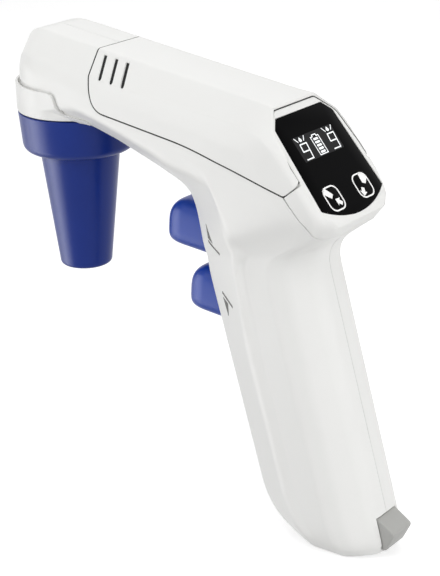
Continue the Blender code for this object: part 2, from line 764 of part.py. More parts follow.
def bezel_outline(inset=0.0):
    """Bezel face in panel coordinates (v, y), running on below the cover."""
    half = [(BEZEL_TOP_V + inset, BEZEL_TOP_HALF - inset, 0.002),
            (BEZEL_SHOULDER_V, BEZEL_SHOULDER_HALF - inset, 0.006),
            (BEZEL_SEAM_V - 0.006, BEZEL_SIDE_HALF - inset, 0),
            (BEZEL_SEAM_V + 0.003, BEZEL_SIDE_HALF - inset, 0)]
    return rounded_loop([(v, -y, r) for v, y, r in half] + [(v, y, r) for v, y, r in reversed(half)])


def window_outline(amount=0.0):
    """Black window: chamfered above, straight sides and an arc below."""
    low, bottom = WINDOW_LOW_HALF, WINDOW_BOTTOM_V - WINDOW_LOW_V
    radius = (low * low + bottom * bottom) / (2 * bottom)
    reach = atan2(low, radius - bottom)
    middle = WINDOW_BOTTOM_V - radius
    arc = [(middle + radius * cos(reach * k / 6), radius * sin(reach * k / 6)) for k in range(6, -7, -1)]
    upper = [(WINDOW_CHAMFER_V, -WINDOW_CHAMFER_HALF), (0.0, -WINDOW_TOP_HALF),
             (0.0, WINDOW_TOP_HALF), (WINDOW_CHAMFER_V, WINDOW_CHAMFER_HALF)]
    outline = [Vector(p) for p in upper + arc]
    return grown(outline, amount) if amount else outline


def key_outline(side, amount=0.0):
    return rounded_box(KEY_V + KEY_LENGTH / 2, side * KEY_OFFSET, KEY_LENGTH + 2 * amount,
                       KEY_WIDTH + 2 * amount, KEY_ROUND + amount)


def lcd_outline(amount=0.0):
    return rounded_box(LCD_V + LCD_LENGTH / 2, 0, LCD_LENGTH + 2 * amount, 2 * (LCD_HALF_WIDTH + amount),
                       0.0003, 1)


def trigger_seat(height):
    """Middle of a trigger where it passes the front of the grip."""
    level = crossings(inner_guide(), Vector((0, height)), Vector((1, 0)))
    return Vector((level[-1], 0, height))


def trigger_frame(height):
    return frame(trigger_seat(height), TRIGGER_IN, (0, 0, 1))


def grip_point(from_front, height):
    """A point inside the grip, square behind its front at a height."""
    return Vector((grip_front(height), 0, height)) + GRIP_BACK * from_front


def heel_place(up, out):
    """A point on the middle line of the heel: up along the back of the grip, and out from it."""
    return Vector((grip_back(0), 0, 0)) + HEEL_UP * up + HEEL_OUT * out


def screw_places():
    """Side-view places of the five housing screws."""
    return [Vector((-0.0090, 0.1545)), Vector((0.0565, 0.1280)), Vector((0.0990, 0.1150)),
            Vector((0.1070, 0.0715)), Vector((0.1090, 0.0064))]


def valve_front(height):
    """Middle of a valve's face, behind the trigger's spring."""
    return trigger_seat(height) + TRIGGER_IN * (TRIGGER_INSIDE + SPRING_LENGTH + 2 * GAP)


# Housing

def head_collar():
    """The ring over the nose, its rear ends swept down into the barrel."""
    inside = HEAD_REACH - WALL
    ring = turned("head_collar", [(HEAD_COLLAR_RADIUS, HEAD_BOTTOM_Z + HEAD_COLLAR_HEIGHT + 0.001),
                                  (HEAD_COLLAR_RADIUS, HEAD_BOTTOM_Z), (inside, HEAD_BOTTOM_Z),
                                  (inside, HEAD_BOTTOM_Z + HEAD_COLLAR_HEIGHT + 0.001)])
    sweep = rounded_loop([(-0.03, HEAD_BOTTOM_Z + HEAD_COLLAR_HEIGHT, 0),
                          (0.0065, HEAD_BOTTOM_Z + HEAD_COLLAR_HEIGHT - 0.0038, 0.004),
                          (0.0092, HEAD_BOTTOM_Z + 0.0035, 0.004),
                          (0.0135, HEAD_BOTTOM_Z - 0.0005, 0), (-0.03, HEAD_BOTTOM_Z - 0.0005, 0)])
    return keep(ring, side_plate("collar_sweep", sweep, 0.03))


def seats():
    """Ribs and posts inside the housing, on which the inner pieces rest."""
    made = [block("motor_rib", (0.0014, 0.0240, 0.0240), (x, 0, MOTOR_Z - 0.0160)) for x in (0.0510, 0.0605)]
    made.append(rod("nose_well", NOSE_COLLAR_RADIUS + SLIDE_GAP + WALL, (0, 0, HEAD_BOTTOM_Z - 0.010),
                    (0, 0, HEAD_BOTTOM_Z + WALL - 0.0002), steps=TURN_STEPS))
    shelf_high = PUMP_HEAD_LOW_Z - GAP
    made.append(block("pump_shelf", (0.0100, 0.0100, 0.0140), (0.0290, 0, shelf_high - 0.0070)))
    middle = (valve_front(UPPER_TRIGGER_Z) + valve_front(LOWER_TRIGGER_Z)) / 2 + TRIGGER_IN * VALVE_DEPTH / 2
    for side in (-1, 1):
        inside = VALVE_HALF_WIDTH + GAP
        made.append(block("valve_rib", (0.0016, 0.0120, 0.0200),
                          (middle.x, side * (inside + 0.0060), middle.z)))
        rail = CHARGE_BOARD_HALF_WIDTH + GAP
        for height in (0.0250, 0.0480):
            at = grip_point(CHARGE_BOARD_FROM_FRONT, height)
            made.append(block("board_rail", (0.0040, 0.010, 0.0016), (at.x, side * (rail + 0.005), at.z)))
    for height in (0.0230, 0.0480):
        at = grip_point(0.0045, height)
        made.append(block("holder_rib", (0.0110, 0.0120, 0.0014), at))
    under = heel_place(PORT_UP_BACK, -WALL - GAP - SOCKET_DEPTH / 2)
    for side in (-1, 1):
        made.append(block("socket_rib", (0.0060, 0.0014, under.z), (under.x, side * 0.0025, under.z / 2)))
    for place in screw_places():
        made.append(rod("screw_boss", BOSS_RADIUS, (place.x, -0.04, place.y), (place.x, 0.04, place.y),
                        steps=SMALL_STEPS))
    return made


def clearances():
    """Room for the inner pieces that the seats hold."""
    axis = Vector((MOTOR_X, 0, MOTOR_Z))
    low, high = cell_ends()
    reach = GRIP_DOWN * 0.003
    holder_radius = CELL_RADIUS + GAP + HOLDER_WALL + GAP
    motor_end = axis + Vector((MOTOR_LENGTH + 0.004, 0, 0))
    return [rod("motor_room", MOTOR_RADIUS + GAP, axis, motor_end, steps=24),
            rod("holder_room", holder_radius, low + reach, high - reach, steps=24),
            socket_block("socket_room", GAP)]


def openings():
    """Nose port, trigger mouths, charging port and the recess of its cover."""
    made = [rod("nose_port", SPIGOT_NECK_RADIUS + GAP, (0, 0, HEAD_BOTTOM_Z - 0.002),
                (0, 0, HEAD_BOTTOM_Z + 0.004), steps=TURN_STEPS),
            rod("collar_room", NOSE_COLLAR_RADIUS + SLIDE_GAP, (0, 0, HEAD_BOTTOM_Z - 0.012),
                (0, 0, HEAD_BOTTOM_Z), steps=TURN_STEPS)]
    for height in (UPPER_TRIGGER_Z, LOWER_TRIGGER_Z):
        mouth = rounded_box(0, 0, TRIGGER_HEIGHT + 2 * SLIDE_GAP, 2 * (TRIGGER_HALF_WIDTH + SLIDE_GAP),
                            MOUTH_CORNER, 2)
        made.append(plate("trigger_mouth", mouth, -0.012, 0.0080, None, trigger_frame(height)))
    made.append(side_plate("port_recess", port_profile(GAP), PORT_COVER_HALF_WIDTH + GAP))
    made.append(rod("port_hole", SOCKET_BORE + 0.0008, heel_place(PORT_UP_BACK, -2 * WALL),
                    heel_place(PORT_UP_BACK, 2 * WALL), steps=20))
    return made


def screw_room():
    """Bores through the right half and pilot bores in the left half."""
    made = []
    for place in screw_places():
        outside = (place.x, 0.03, place.y)
        made.append(rod("screw_bore", SCREW_RADIUS + GAP, (place.x, -SCREW_REACH - 0.0005, place.y), outside,
                        steps=SMALL_STEPS))
        made.append(rod("head_bore", SCREW_HEAD_RADIUS + GAP, (place.x, SCREW_SEAT, place.y), outside,
                        steps=SMALL_STEPS))
    return made


def build_housing():
    """Shell, then the cover and bezel taken out of it, then the two halves."""
    solid = loft("body_solid", body_rings())
    join(solid, head_collar())
    hollow = loft("body_hollow", body_rings(WALL, HOLLOW_STEPS))
    shell = cut(copy_of(solid, "body_shell"), copy_of(hollow, "hollow_for_shell"))

    cover = keep(copy_of(shell, "top_cover"), side_plate("cover_region", seam_outline(), 0.03))
    cut(cover, plate("bezel_room", bezel_outline(), -0.006, 0.004, None, panel_frame()))
    cut(cover, *vents())

    bezel = keep(side_plate("display_bezel", bezel_side(BEZEL_SEAM_V + GAP, BEZEL_DEPTH, 0.0), 0.03),
                 copy_of(solid, "solid_for_bezel"))
    behind = side_plate("behind_face", bezel_side(-0.010, 0.050, 0.0002 - BEZEL_FACE), 0.03)
    cut(bezel, keep(copy_of(hollow, "hollow_for_bezel"), behind))
    face = plate("bezel_face", bezel_outline(GAP), -BEZEL_FACE, 0.0, None, panel_frame())
    for v, y in board_posts():
        foot, top = panel_point(v, y, -BOARD_DEPTH + GAP), panel_point(v, y, -BEZEL_FACE + 0.0005)
        join(face, rod("board_post", 0.0016, foot, top, steps=14))
    join(bezel, face)
    recess = plate("window_recess", window_outline(GAP), -WINDOW_THICKNESS - GAP, 0.003, None, panel_frame())
    through = plate("lcd_hole", lcd_outline(0.0008), -0.006, 0.003, None, panel_frame())
    cut(bezel, recess, through)
    for side in (-1, 1):
        cut(bezel, plate("key_hole", key_outline(side, SLIDE_GAP), -0.006, 0.003, None, panel_frame()))

    inside = seats()
    carrier = inside[0]
    join(carrier, *inside[1:])
    keep(carrier, loft("body_middle", body_rings(WALL / 2, HOLLOW_STEPS)))
    join(shell, carrier)
    cut(shell, side_plate("cover_room", grown(seam_outline(), GAP), 0.03))
    cut(shell, side_plate("bezel_slot", bezel_side(BEZEL_SEAM_V - 0.0045, BEZEL_DEPTH + GAP, 0.006), 0.03))
    cut(shell, *clearances(), *openings())
    halves = []
    for name, side in (("left_housing", -1), ("right_housing", 1)):
        room = block("half_room", (0.4, 0.1, 0.4), (0.05, side * (0.05 + GAP / 2), 0.1))
        halves.append(keep(copy_of(shell, name), room))
    for half in halves:
        cut(half, *screw_room())
    for item in (*halves, cover, bezel):
        item.data.materials.clear()
        item.data.materials.append(WHITE)
        recalc(item.data)
    for spare in (solid, hollow, shell):
        bpy.data.objects.remove(spare)
    return halves, cover, bezel


def vents():
    """Slots through both sides of the cover."""
    made = []
    lean = radians(VENT_LEAN)
    for k in range(VENT_COUNT):
        slot = rounded_box(0, 0, VENT_WIDTH, VENT_LENGTH, VENT_WIDTH / 2, 2)
        x = VENT_X + k * VENT_PITCH
        z = VENT_Z - tan(radians(BARREL_SLOPE)) * k * VENT_PITCH
        turn = [Vector((x + p.x * cos(lean) - p.y * sin(lean), z + p.x * sin(lean) + p.y * cos(lean)))
                for p in slot]
        for side in (-1, 1):
            made.append(side_plate("vent_slot", turn, 0.010, None, side * (VENT_INNER_Y + 0.010)))
    return made


def board_posts():
    return [(v, side * (BOARD_HALF_WIDTH - 0.0018)) for v in (0.0043, 0.0208) for side in (-1, 1)]


def panel_point(v, y, out):
    return PANEL_ORIGIN + PANEL_DOWN * v + Vector((0, y, 0)) + PANEL_OUT * out


# Display

def build_display():
    place = panel_frame()
    window = plate("display_window", window_outline(), -WINDOW_THICKNESS, -0.0001, BLACK, place)
    cut(window, plate("lcd_cut", lcd_outline(GAP), -0.01, 0.01, None, place))
    for side in (-1, 1):
        cut(window, plate("key_cut", key_outline(side, SLIDE_GAP), -0.01, 0.01, None, place))
    glass = plate("lcd_module", lcd_outline(), -LCD_DEPTH - 0.0005, -0.0002, LCD_GREY, place)
    base = rounded_box(LCD_V + LCD_LENGTH / 2, 0, LCD_LENGTH + 0.003, 2 * LCD_HALF_WIDTH + 0.002, 0.0005, 1)
    join(glass, plate("lcd_base", base, -BOARD_DEPTH + 0.0006, -BEZEL_FACE - GAP, None, place))
    for name, side in (("aspirate_key", -1), ("dispense_key", 1)):
        key = plate(name, key_outline(side), -KEY_HEIGHT, -0.0001, KEY_BLACK, place)
        flange = key_outline(side, 0.0010)
        join(key, plate("key_flange", flange, -KEY_HEIGHT - 0.0012, -BEZEL_FACE - GAP, None, place))
        put_origin(key, panel_point(KEY_V + KEY_LENGTH / 2, side * KEY_OFFSET, 0))
    for name, side in (("aspirate_switch", -1), ("dispense_switch", 1)):
        v = KEY_V + KEY_LENGTH / 2
        body = block(name, (0.0045, 0.0045, 0.0018), (v, side * KEY_OFFSET, -BOARD_DEPTH + GAP + 0.0009),
                     CHIP, place)
        high = -KEY_HEIGHT - 0.0012 - KEY_TRAVEL - GAP
        foot = -BOARD_DEPTH + GAP + 0.0012
        join(body, rod("plunger", 0.0012, panel_point(v, side * KEY_OFFSET, foot),
                       panel_point(v, side * KEY_OFFSET, high), steps=12))
    board = plate("control_board", rounded_box(BOARD_START_V + BOARD_LENGTH / 2, 0, BOARD_LENGTH,
                                               2 * BOARD_HALF_WIDTH, 0.0015, 2),
                  -BOARD_DEPTH - BOARD_THICKNESS, -BOARD_DEPTH, BOARD_GREEN, place)
    for name, size, v, y in (("control_chip", (0.0080, 0.0080, 0.0012), 0.0150, 0.0030),
                             ("board_connector", (0.0050, 0.0100, 0.0040), 0.0310, -0.0030)):
        block(name, size, (v, y, -BOARD_DEPTH - BOARD_THICKNESS - GAP - size[2] / 2), CHIP, place)
    under = -BOARD_DEPTH - BOARD_THICKNESS
    for k, (v, y) in enumerate(board_posts()):
        hole = rod("board_hole", 0.0011, panel_point(v, y, under - 0.001),
                   panel_point(v, y, -BOARD_DEPTH + 0.001), steps=10)
        cut(board, hole)
        screw = rod("board_screw_" + str(k + 1), 0.0018, panel_point(v, y, under - GAP - 0.0010),
                    panel_point(v, y, under - GAP), STEEL, 10)
        join(screw, rod("shank", 0.0008, panel_point(v, y, under - GAP - 0.0005),
                        panel_point(v, y, -BOARD_DEPTH), steps=10))


# Nose

def cone_radius(height, wall=0.0):
    """Outer radius of the cone at a height above the mouth, less a wall."""
    share = (height - 0.003) / (CONE_HEIGHT - 0.003)
    return MOUTH_RADIUS + (CONE_TOP_RADIUS - MOUTH_RADIUS) * share - wall


def build_nose():
    """Threaded nose cone, its silicone holder and the filter, with the spigot that they screw on."""
    base = NOSE_MOUTH_Z
    top = base + CONE_HEIGHT
    inner_top = cone_radius(CONE_HEIGHT, CONE_WALL)
    collar = NOSE_COLLAR_RADIUS
    outer = [(MOUTH_RADIUS - 0.0018, base), (MOUTH_RADIUS - 0.0004, base + 0.0008),
             (MOUTH_RADIUS, base + 0.0030), (CONE_TOP_RADIUS, top - 0.0008),
             (CONE_TOP_RADIUS + 0.0010, top + 0.0002), (collar - 0.0042, top + 0.0010),
             (collar - 0.0016, top + 0.0020), (collar - 0.0006, top + 0.0038), (collar, NOSE_TOP_Z)]
    floor = top + 0.0026
    inside = [(NOSE_THREAD_RADIUS, NOSE_TOP_Z), (NOSE_THREAD_RADIUS, floor + 0.0010),
              (NOSE_THREAD_RADIUS - 0.0030, floor), (inner_top, floor - 0.0010),
              (cone_radius(0.006, CONE_WALL), base + 0.0060), (MOUTH_OPENING_RADIUS, base + 0.0030),
              (MOUTH_OPENING_RADIUS, base)]
    cone = turned("nose_cone", list(reversed(outer + inside)), NOSE_BLUE)
    put_origin(cone, (0, 0, base))

    under = NOSE_TOP_Z - GAP
    skirt_floor = under - SPIGOT_FLOOR
    port_low = skirt_floor - PORT_DROP
    disc = port_low - PORT_RISE
    hub = disc - FILTER_THICKNESS
    rest = hub - HUB_SHOULDER
    build_holder(base, rest - GAP)
    edge = inner_rest(hub - base)
    turned("membrane_filter", [(FILTER_BORE, rest - FILTER_HUB_DROP),
                               (FILTER_HUB_RADIUS - 0.0010, rest - FILTER_HUB_DROP),
                               (FILTER_HUB_RADIUS, rest), (FILTER_HUB_RADIUS + 0.0010, hub - 0.0002),
                               (edge, hub), (edge, hub + 0.0012), (edge - 0.0008, disc - 0.0010),
                               (FILTER_HUB_RADIUS + 0.0015, disc), (FILTER_HUB_RADIUS, disc),
                               (FILTER_HUB_RADIUS - 0.0007, port_low - 2 * GAP),
                               (FILTER_BORE, port_low - 2 * GAP)], NYLON, steps=24)
    turned("filter_seal", [(FILTER_HUB_RADIUS + GAP, disc + GAP), (SEAL_RADIUS, disc + GAP),
                           (SEAL_RADIUS, skirt_floor - GAP), (PORT_RADIUS + GAP, skirt_floor - GAP),
                           (PORT_RADIUS + GAP, port_low - 0.0001),
                           (FILTER_HUB_RADIUS + GAP, port_low - 0.0003)], SILICONE, steps=24)
    skirt = SPIGOT_RADIUS
    neck_top = HEAD_BOTTOM_Z + WALL + GAP
    flange_top = neck_top + SPIGOT_FLANGE
    spigot = [(PORT_BORE, port_low), (PORT_RADIUS - 0.0004, port_low), (PORT_RADIUS, port_low + 0.0030),
              (PORT_RADIUS, skirt_floor), (skirt - SPIGOT_WALL, skirt_floor),
              (skirt - SPIGOT_WALL, under - SPIGOT_LENGTH), (skirt, under - SPIGOT_LENGTH), (skirt, under),
              (SPIGOT_NECK_RADIUS, under), (SPIGOT_NECK_RADIUS, neck_top), (SPIGOT_FLANGE_RADIUS, neck_top),
              (SPIGOT_FLANGE_RADIUS, flange_top), (BARB_RADIUS + 0.0020, flange_top),
              (BARB_RADIUS + 0.0008, port_top()), (PORT_BORE, port_top())]
    turned("nose_spigot", list(reversed(spigot)), WHITE, steps=28)


def build_holder(base, high):
    """Grooved silicone sleeve that grips the pipette's mouth end."""
    low = base + HOLDER_RISE
    wide = HOLDER_BORE + 0.0030
    sleeve = [(HOLDER_BORE + 0.0018, low), (cone_radius(low - base, CONE_WALL) - GAP, low),
              (cone_radius(high - base, CONE_WALL) - GAP, high), (wide, high),
              (wide, high - FILTER_HUB_DROP / 2), (HOLDER_BORE, high - FILTER_HUB_DROP - 2 * GAP)]
    for k in range(2):
        ring = high - 0.0110 - k * 0.0080
        sleeve += [(HOLDER_BORE, ring + 0.0020), (HOLDER_BORE + 0.0007, ring + 0.0010),
                   (HOLDER_BORE + 0.0007, ring - 0.0010), (HOLDER_BORE, ring - 0.0020)]
    sleeve.append((HOLDER_BORE, low + 0.0050))
    turned("pipette_holder", sleeve, SILICONE, steps=24)


def inner_rest(height):
    return min(FILTER_RADIUS, cone_radius(height, CONE_WALL) - GAP)


def port_top():
    return HEAD_BOTTOM_Z + WALL + GAP + SPIGOT_FLANGE + 0.0035


# Triggers and valves

def trigger_rings(height, reach):
    """Sections across the slide, from the rounded front to the square back."""
    place = trigger_frame(height)
    half = TRIGGER_HEIGHT / 2
    rows = []
    for angle in (8, 24, 42, 62, 90):
        s, c = sin(radians(angle)), cos(radians(angle))
        rows.append((-reach + 0.0085 * (1 - c), 0.0018 + (TRIGGER_HALF_WIDTH - 0.0018) * s ** 0.8,
                     -0.0010 + (half + 0.0010) * s, -half + 0.0022 * (1 - s) ** 1.5))
    rows.append((TRIGGER_INSIDE, TRIGGER_HALF_WIDTH, half, -half))
    rings = []
    for along, wide, high, low in rows:
        middle, tall = (high + low) / 2, (high - low) / 2
        ring = []
        for k in range(24):
            angle = 2 * pi * k / 24
            up = middle + tall * copysign_power(cos(angle), 0.55)
            ring.append(place @ Vector((up, wide * copysign_power(sin(angle), 0.55), along)))
        rings.append(ring)
    return rings


def copysign_power(value, power):
    return abs(value) ** power * (1 if value >= 0 else -1)


def build_triggers():
    for name, height, reach in (("aspirate", UPPER_TRIGGER_Z, UPPER_TRIGGER_REACH),
                                ("dispense", LOWER_TRIGGER_Z, LOWER_TRIGGER_REACH)):
        seat = trigger_seat(height)
        trigger = loft(name + "_trigger", trigger_rings(height, reach), TRIGGER_BLUE)
        put_origin(trigger, seat)
        back = seat + TRIGGER_IN * (TRIGGER_INSIDE + GAP)
        end = back + TRIGGER_IN * STEM_LENGTH
        stem = rod(name + "_stem", STEM_RADIUS, back, end, STEEL, 20)
        groove = back + TRIGGER_IN * (STEM_LENGTH - 0.0050)
        cut(stem, ring_solid(name + "_groove", STEM_RADIUS - 0.0006, STEM_RADIUS + 0.001, groove, 0.0014))
        put_origin(stem, seat)
        seal = ring_solid(name + "_stem_seal", STEM_RADIUS - 0.0004, STEM_RADIUS + 0.0005, groove, 0.0008,
                          SILICONE)
        put_origin(seal, seat)
        build_spring(name + "_spring", back, SPRING_LENGTH)
    build_valve_block()


def ring_solid(name, inner, outer, middle, thickness, look=None):
    half = thickness / 2
    return turned(name, [(inner, half), (outer, half), (outer, -half), (inner, -half)], look,
                  frame(middle, TRIGGER_IN), steps=20)


def build_spring(name, start, length):
    """A coil of wire round the stem between the trigger and the valve block."""
    place = frame(start, TRIGGER_IN)
    count = SPRING_TURNS * SPRING_STEPS
    points = []
    for k in range(count + 1):
        angle = 2 * pi * k / SPRING_STEPS
        rise = SPRING_WIRE + (length - 2 * SPRING_WIRE) * k / count
        points.append(place @ Vector((SPRING_RADIUS * cos(angle), SPRING_RADIUS * sin(angle), rise)))
    tube(name, points, SPRING_WIRE, STEEL, 0)


def build_valve_block():
    upper, lower = valve_front(UPPER_TRIGGER_Z), valve_front(LOWER_TRIGGER_Z)
    lean = (lower - upper).normalized()
    high, low = upper - lean * VALVE_END, lower + lean * VALVE_END
    back = TRIGGER_IN * VALVE_DEPTH
    outline = [Vector((p.x, p.z)) for p in (high, low, low + back, high + back)]
    valve = side_plate("valve_block", outline, VALVE_HALF_WIDTH, NYLON)
    for front in (upper, lower):
        cut(valve, rod("stem_bore", STEM_RADIUS + 0.0009, front - TRIGGER_IN * 0.002,
                       front + TRIGGER_IN * (VALVE_DEPTH + 0.002), steps=16))
    top = high + back * 0.5
    for y in (-0.005, 0.0, 0.005):
        start = Vector((top.x, y, top.z))
        join(valve, rod("barb", BARB_RADIUS, start + lean * 0.001, start - lean * BARB_LENGTH, steps=12,
                        end_radius=BARB_RADIUS * 0.8))
    for name, front in (("upper_sensor", upper), ("lower_sensor", lower)):
        middle = front + TRIGGER_IN * 0.0030 + lean * 0.0045
        size = (0.0050, 0.0032, 0.0060)
        block(name, size, (middle.x, VALVE_HALF_WIDTH + GAP + size[1] / 2, middle.z), CHIP)


def valve_barb(y):
    upper, lower = valve_front(UPPER_TRIGGER_Z), valve_front(LOWER_TRIGGER_Z)
    lean = (lower - upper).normalized()
    top = upper - lean * (VALVE_END + BARB_LENGTH + GAP) + TRIGGER_IN * VALVE_DEPTH * 0.5
    return Vector((top.x, y, top.z)) - lean * 0.0004, -lean


# Pump

def build_pump():
    face = Vector((MOTOR_X, 0, MOTOR_Z))
    motor = rod("pump_motor", MOTOR_RADIUS, face, face + Vector((MOTOR_LENGTH, 0, 0)), STEEL, 24)
    join(motor, rod("motor_bush", 0.0030, face + Vector((MOTOR_LENGTH - 0.001, 0, 0)),
                    face + Vector((MOTOR_LENGTH + 0.0018, 0, 0)), steps=16))
    front = MOTOR_X - GAP - BRACKET_LENGTH
    wide = PUMP_HEAD_HALF_WIDTH
    low, high = PUMP_HEAD_LOW_Z - 0.0040, PUMP_HEAD_HIGH_Z - 0.0015
    bracket = block("pump_bracket", (BRACKET_LENGTH, 2 * wide, high - low),
                    (front + BRACKET_LENGTH / 2, 0, (low + high) / 2), NYLON)
    cut(bracket, block("bracket_room", (BRACKET_LENGTH - 2 * BRACKET_WALL, 2 * (wide - BRACKET_WALL), 0.05),
                       (front + BRACKET_LENGTH / 2, 0, (low + high) / 2)))
    cut(bracket, rod("shaft_room", SHAFT_RADIUS + SLIDE_GAP, (front - 0.001, 0, MOTOR_Z),
                     (MOTOR_X + 0.001, 0, MOTOR_Z), steps=18))
    shaft = rod("pump_eccentric", SHAFT_RADIUS, (front + BRACKET_WALL + 0.0008, 0, MOTOR_Z),
                (MOTOR_X - GAP, 0, MOTOR_Z), STEEL, 16)
    off_centre = MOTOR_Z + ECCENTRIC_THROW
    join(shaft, rod("eccentric_disc", ECCENTRIC_RADIUS, (front + BRACKET_WALL + 0.0012, 0, off_centre),
                    (front + BRACKET_WALL + 0.0046, 0, off_centre), steps=20))
    put_origin(shaft, face)
    head_x = front - GAP - PUMP_HEAD_LENGTH
    head = block("pump_head", (PUMP_HEAD_LENGTH, 2 * wide, PUMP_HEAD_HIGH_Z - PUMP_HEAD_LOW_Z),
                 (head_x + PUMP_HEAD_LENGTH / 2, 0, (PUMP_HEAD_HIGH_Z + PUMP_HEAD_LOW_Z) / 2), CHIP,
                 round_edge=0.0008)
    for z in pump_ports():
        join(head, rod("pump_barb", BARB_RADIUS, (head_x + PUMP_PORT_BACK, wide - 0.001, z),
                       (head_x + PUMP_PORT_BACK, wide + BARB_LENGTH, z), steps=SMALL_STEPS))
    return head_x


def pump_ports():
    """Heights of the suction port and of the pressure port."""
    return PUMP_HEAD_LOW_Z + 0.0045, PUMP_HEAD_HIGH_Z - 0.0075


def build_tubes(head_x):
    """Soft tubes: nose to valves, and the pump's two ports to the valves."""
    end, up = valve_barb(-0.005)
    side, rise = -0.0150, port_top()
    route = [Vector((0, 0, rise + GAP)), Vector((0, -0.0002, rise + 0.0035)),
             Vector((0.0035, -0.0045, rise + 0.0075)), Vector((0.0100, -0.0115, rise + 0.0080)),
             Vector((0.0200, side, 0.1475)), Vector((0.0350, side, 0.1450)), Vector((0.0520, side, 0.1420)),
             Vector((0.0660, side, 0.1370)), Vector((0.0770, side + 0.003, 0.1290)), end + up * 0.0050, end]
    tube("nose_tube", smooth_path(route, 3), TUBE_RADIUS, SILICONE)
    wide = PUMP_HEAD_HALF_WIDTH + BARB_LENGTH + GAP
    port = head_x + PUMP_PORT_BACK
    suction, pressure = pump_ports()
    for name, y, z, low in (("suction_tube", 0.005, suction, 0.1340),
                            ("pressure_tube", 0.0, pressure, 0.1400)):
        end, up = valve_barb(y)
        turn_x = 0.0740 + 0.2 * (z - PUMP_HEAD_LOW_Z)
        route = [Vector((port, wide, z)), Vector((port, wide + 0.0010, z)),
                 Vector((port + 0.0014, wide + 0.0024, z - 0.0002)),
                 Vector((port + 0.0045, wide + 0.0027, z - 0.0006)), Vector((0.0450, 0.0155, z - 0.0020)),
                 Vector((0.0600, 0.0150, low)), Vector((turn_x, 0.0110, low - 0.0080)),
                 end + up * 0.0050, end]
        tube(name, smooth_path(route, 3), TUBE_RADIUS, SILICONE)


# Power

def cell_ends():
    low = grip_point(CELL_FROM_FRONT, CELL_LOW)
    return low, low - GRIP_DOWN * CELL_LENGTH


def build_power():
    low, high = cell_ends()
    rod("battery_cell", CELL_RADIUS, low, high, CELL_WRAP, 24)
    inner, outer = CELL_RADIUS + GAP, CELL_RADIUS + GAP + HOLDER_WALL
    place = frame(low, -GRIP_DOWN, GRIP_BACK)
    cradle = [Vector((outer * cos(radians(a)), outer * sin(radians(a)))) for a in range(80, 281, 10)]
    spare = 0.0016
    holder = plate("battery_holder", cradle, -spare - HOLDER_WALL, CELL_LENGTH + spare + HOLDER_WALL, CHIP,
                   place)
    cut(holder, rod("cell_room", inner, place @ Vector((0, 0, -spare)),
                    place @ Vector((0, 0, CELL_LENGTH + spare)), steps=24))
    for name, foot, tip in (("lower_contact", -spare + GAP, -GAP),
                            ("upper_contact", CELL_LENGTH + GAP, CELL_LENGTH + spare - GAP)):
        rod(name, 0.0035, place @ Vector((-0.003, 0, foot)), place @ Vector((-0.003, 0, tip)), STEEL, 16)

    board_low = grip_point(CHARGE_BOARD_FROM_FRONT, 0.0200)
    block("charge_board", (BOARD_THICKNESS, 2 * CHARGE_BOARD_HALF_WIDTH, CHARGE_BOARD_LENGTH),
          (0, 0, CHARGE_BOARD_LENGTH / 2), BOARD_GREEN, frame(board_low, -GRIP_DOWN, GRIP_BACK))
    socket_block("charging_socket", 0.0, CHIP)
    rod("charging_pin", SOCKET_PIN, socket_floor() + HEEL_OUT * GAP,
        socket_floor() + HEEL_OUT * (SOCKET_BORE_DEPTH - 2 * GAP), STEEL, SMALL_STEPS)
    cover = side_plate("charging_port_cover", port_profile(0.0), PORT_COVER_HALF_WIDTH, PORT_GREY)
    put_origin(cover, port_hinge())


def socket_block(name, grow, look=None):
    """The socket's case behind the wall, open at its bore when it is the piece itself."""
    place = frame(heel_place(PORT_UP_BACK, -WALL - GAP), HEEL_OUT, HEEL_UP)
    made = block(name, (SOCKET_HEIGHT + 2 * grow, SOCKET_WIDTH + 2 * grow, SOCKET_DEPTH + 2 * grow),
                 (0, 0, -SOCKET_DEPTH / 2), look, place)
    if not grow:
        cut(made, rod("socket_bore", SOCKET_BORE, socket_floor(), heel_place(PORT_UP_BACK, 0), steps=20))
    return made


def socket_floor():
    return heel_place(PORT_UP_BACK, -WALL - GAP - SOCKET_BORE_DEPTH)


def port_profile(grow):
    """Side view of the port cover: flat in its recess, rising to a ridge outside."""
    low, high = PORT_COVER_LOW - grow, PORT_COVER_HIGH + grow
    inside, skin = -PORT_COVER_DEPTH - grow, PORT_COVER_LIP + grow
    places = [(low, inside), (low, skin), (PORT_COVER_RIDGE, PORT_COVER_BULGE + grow), (high, skin),
              (high, inside)]
    corners = [heel_place(up, out) for up, out in places]
    radii = (0, 0, 0.0012, 0, 0)
    return rounded_loop([(p.x, p.z, r) for p, r in zip(corners, radii)])


def port_hinge():
    return heel_place(PORT_COVER_HIGH, PORT_COVER_LIP)


def build_screws():
    seat = SCREW_SEAT + GAP
    for k, place in enumerate(screw_places()):
        screw = rod("housing_screw_" + str(k + 1), SCREW_HEAD_RADIUS, (place.x, seat, place.y),
                    (place.x, seat + SCREW_HEAD_HEIGHT, place.y), STEEL, SMALL_STEPS)
        join(screw, rod("screw_shank", SCREW_RADIUS, (place.x, -SCREW_REACH, place.y),
                        (place.x, seat + SCREW_HEAD_HEIGHT / 2, place.y), steps=SMALL_STEPS))


def build():
    build_housing()
    build_display()
    build_nose()
    build_triggers()
    build_tubes(build_pump())
    build_power()
    build_screws()
    back = max(p.x for p in port_profile(0.0))
    ROOT.location.x = (HEAD_COLLAR_RADIUS - back) / 2


build()
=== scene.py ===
# Pipette controller, dressed for its studio picture. Metres, +Z up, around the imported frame.
import bmesh
import bpy
import json
import numpy as np
from math import atan2, cos, pi, radians, sin, tan
from mathutils import Matrix, Vector
from mathutils.interpolate import poly_3d_calc


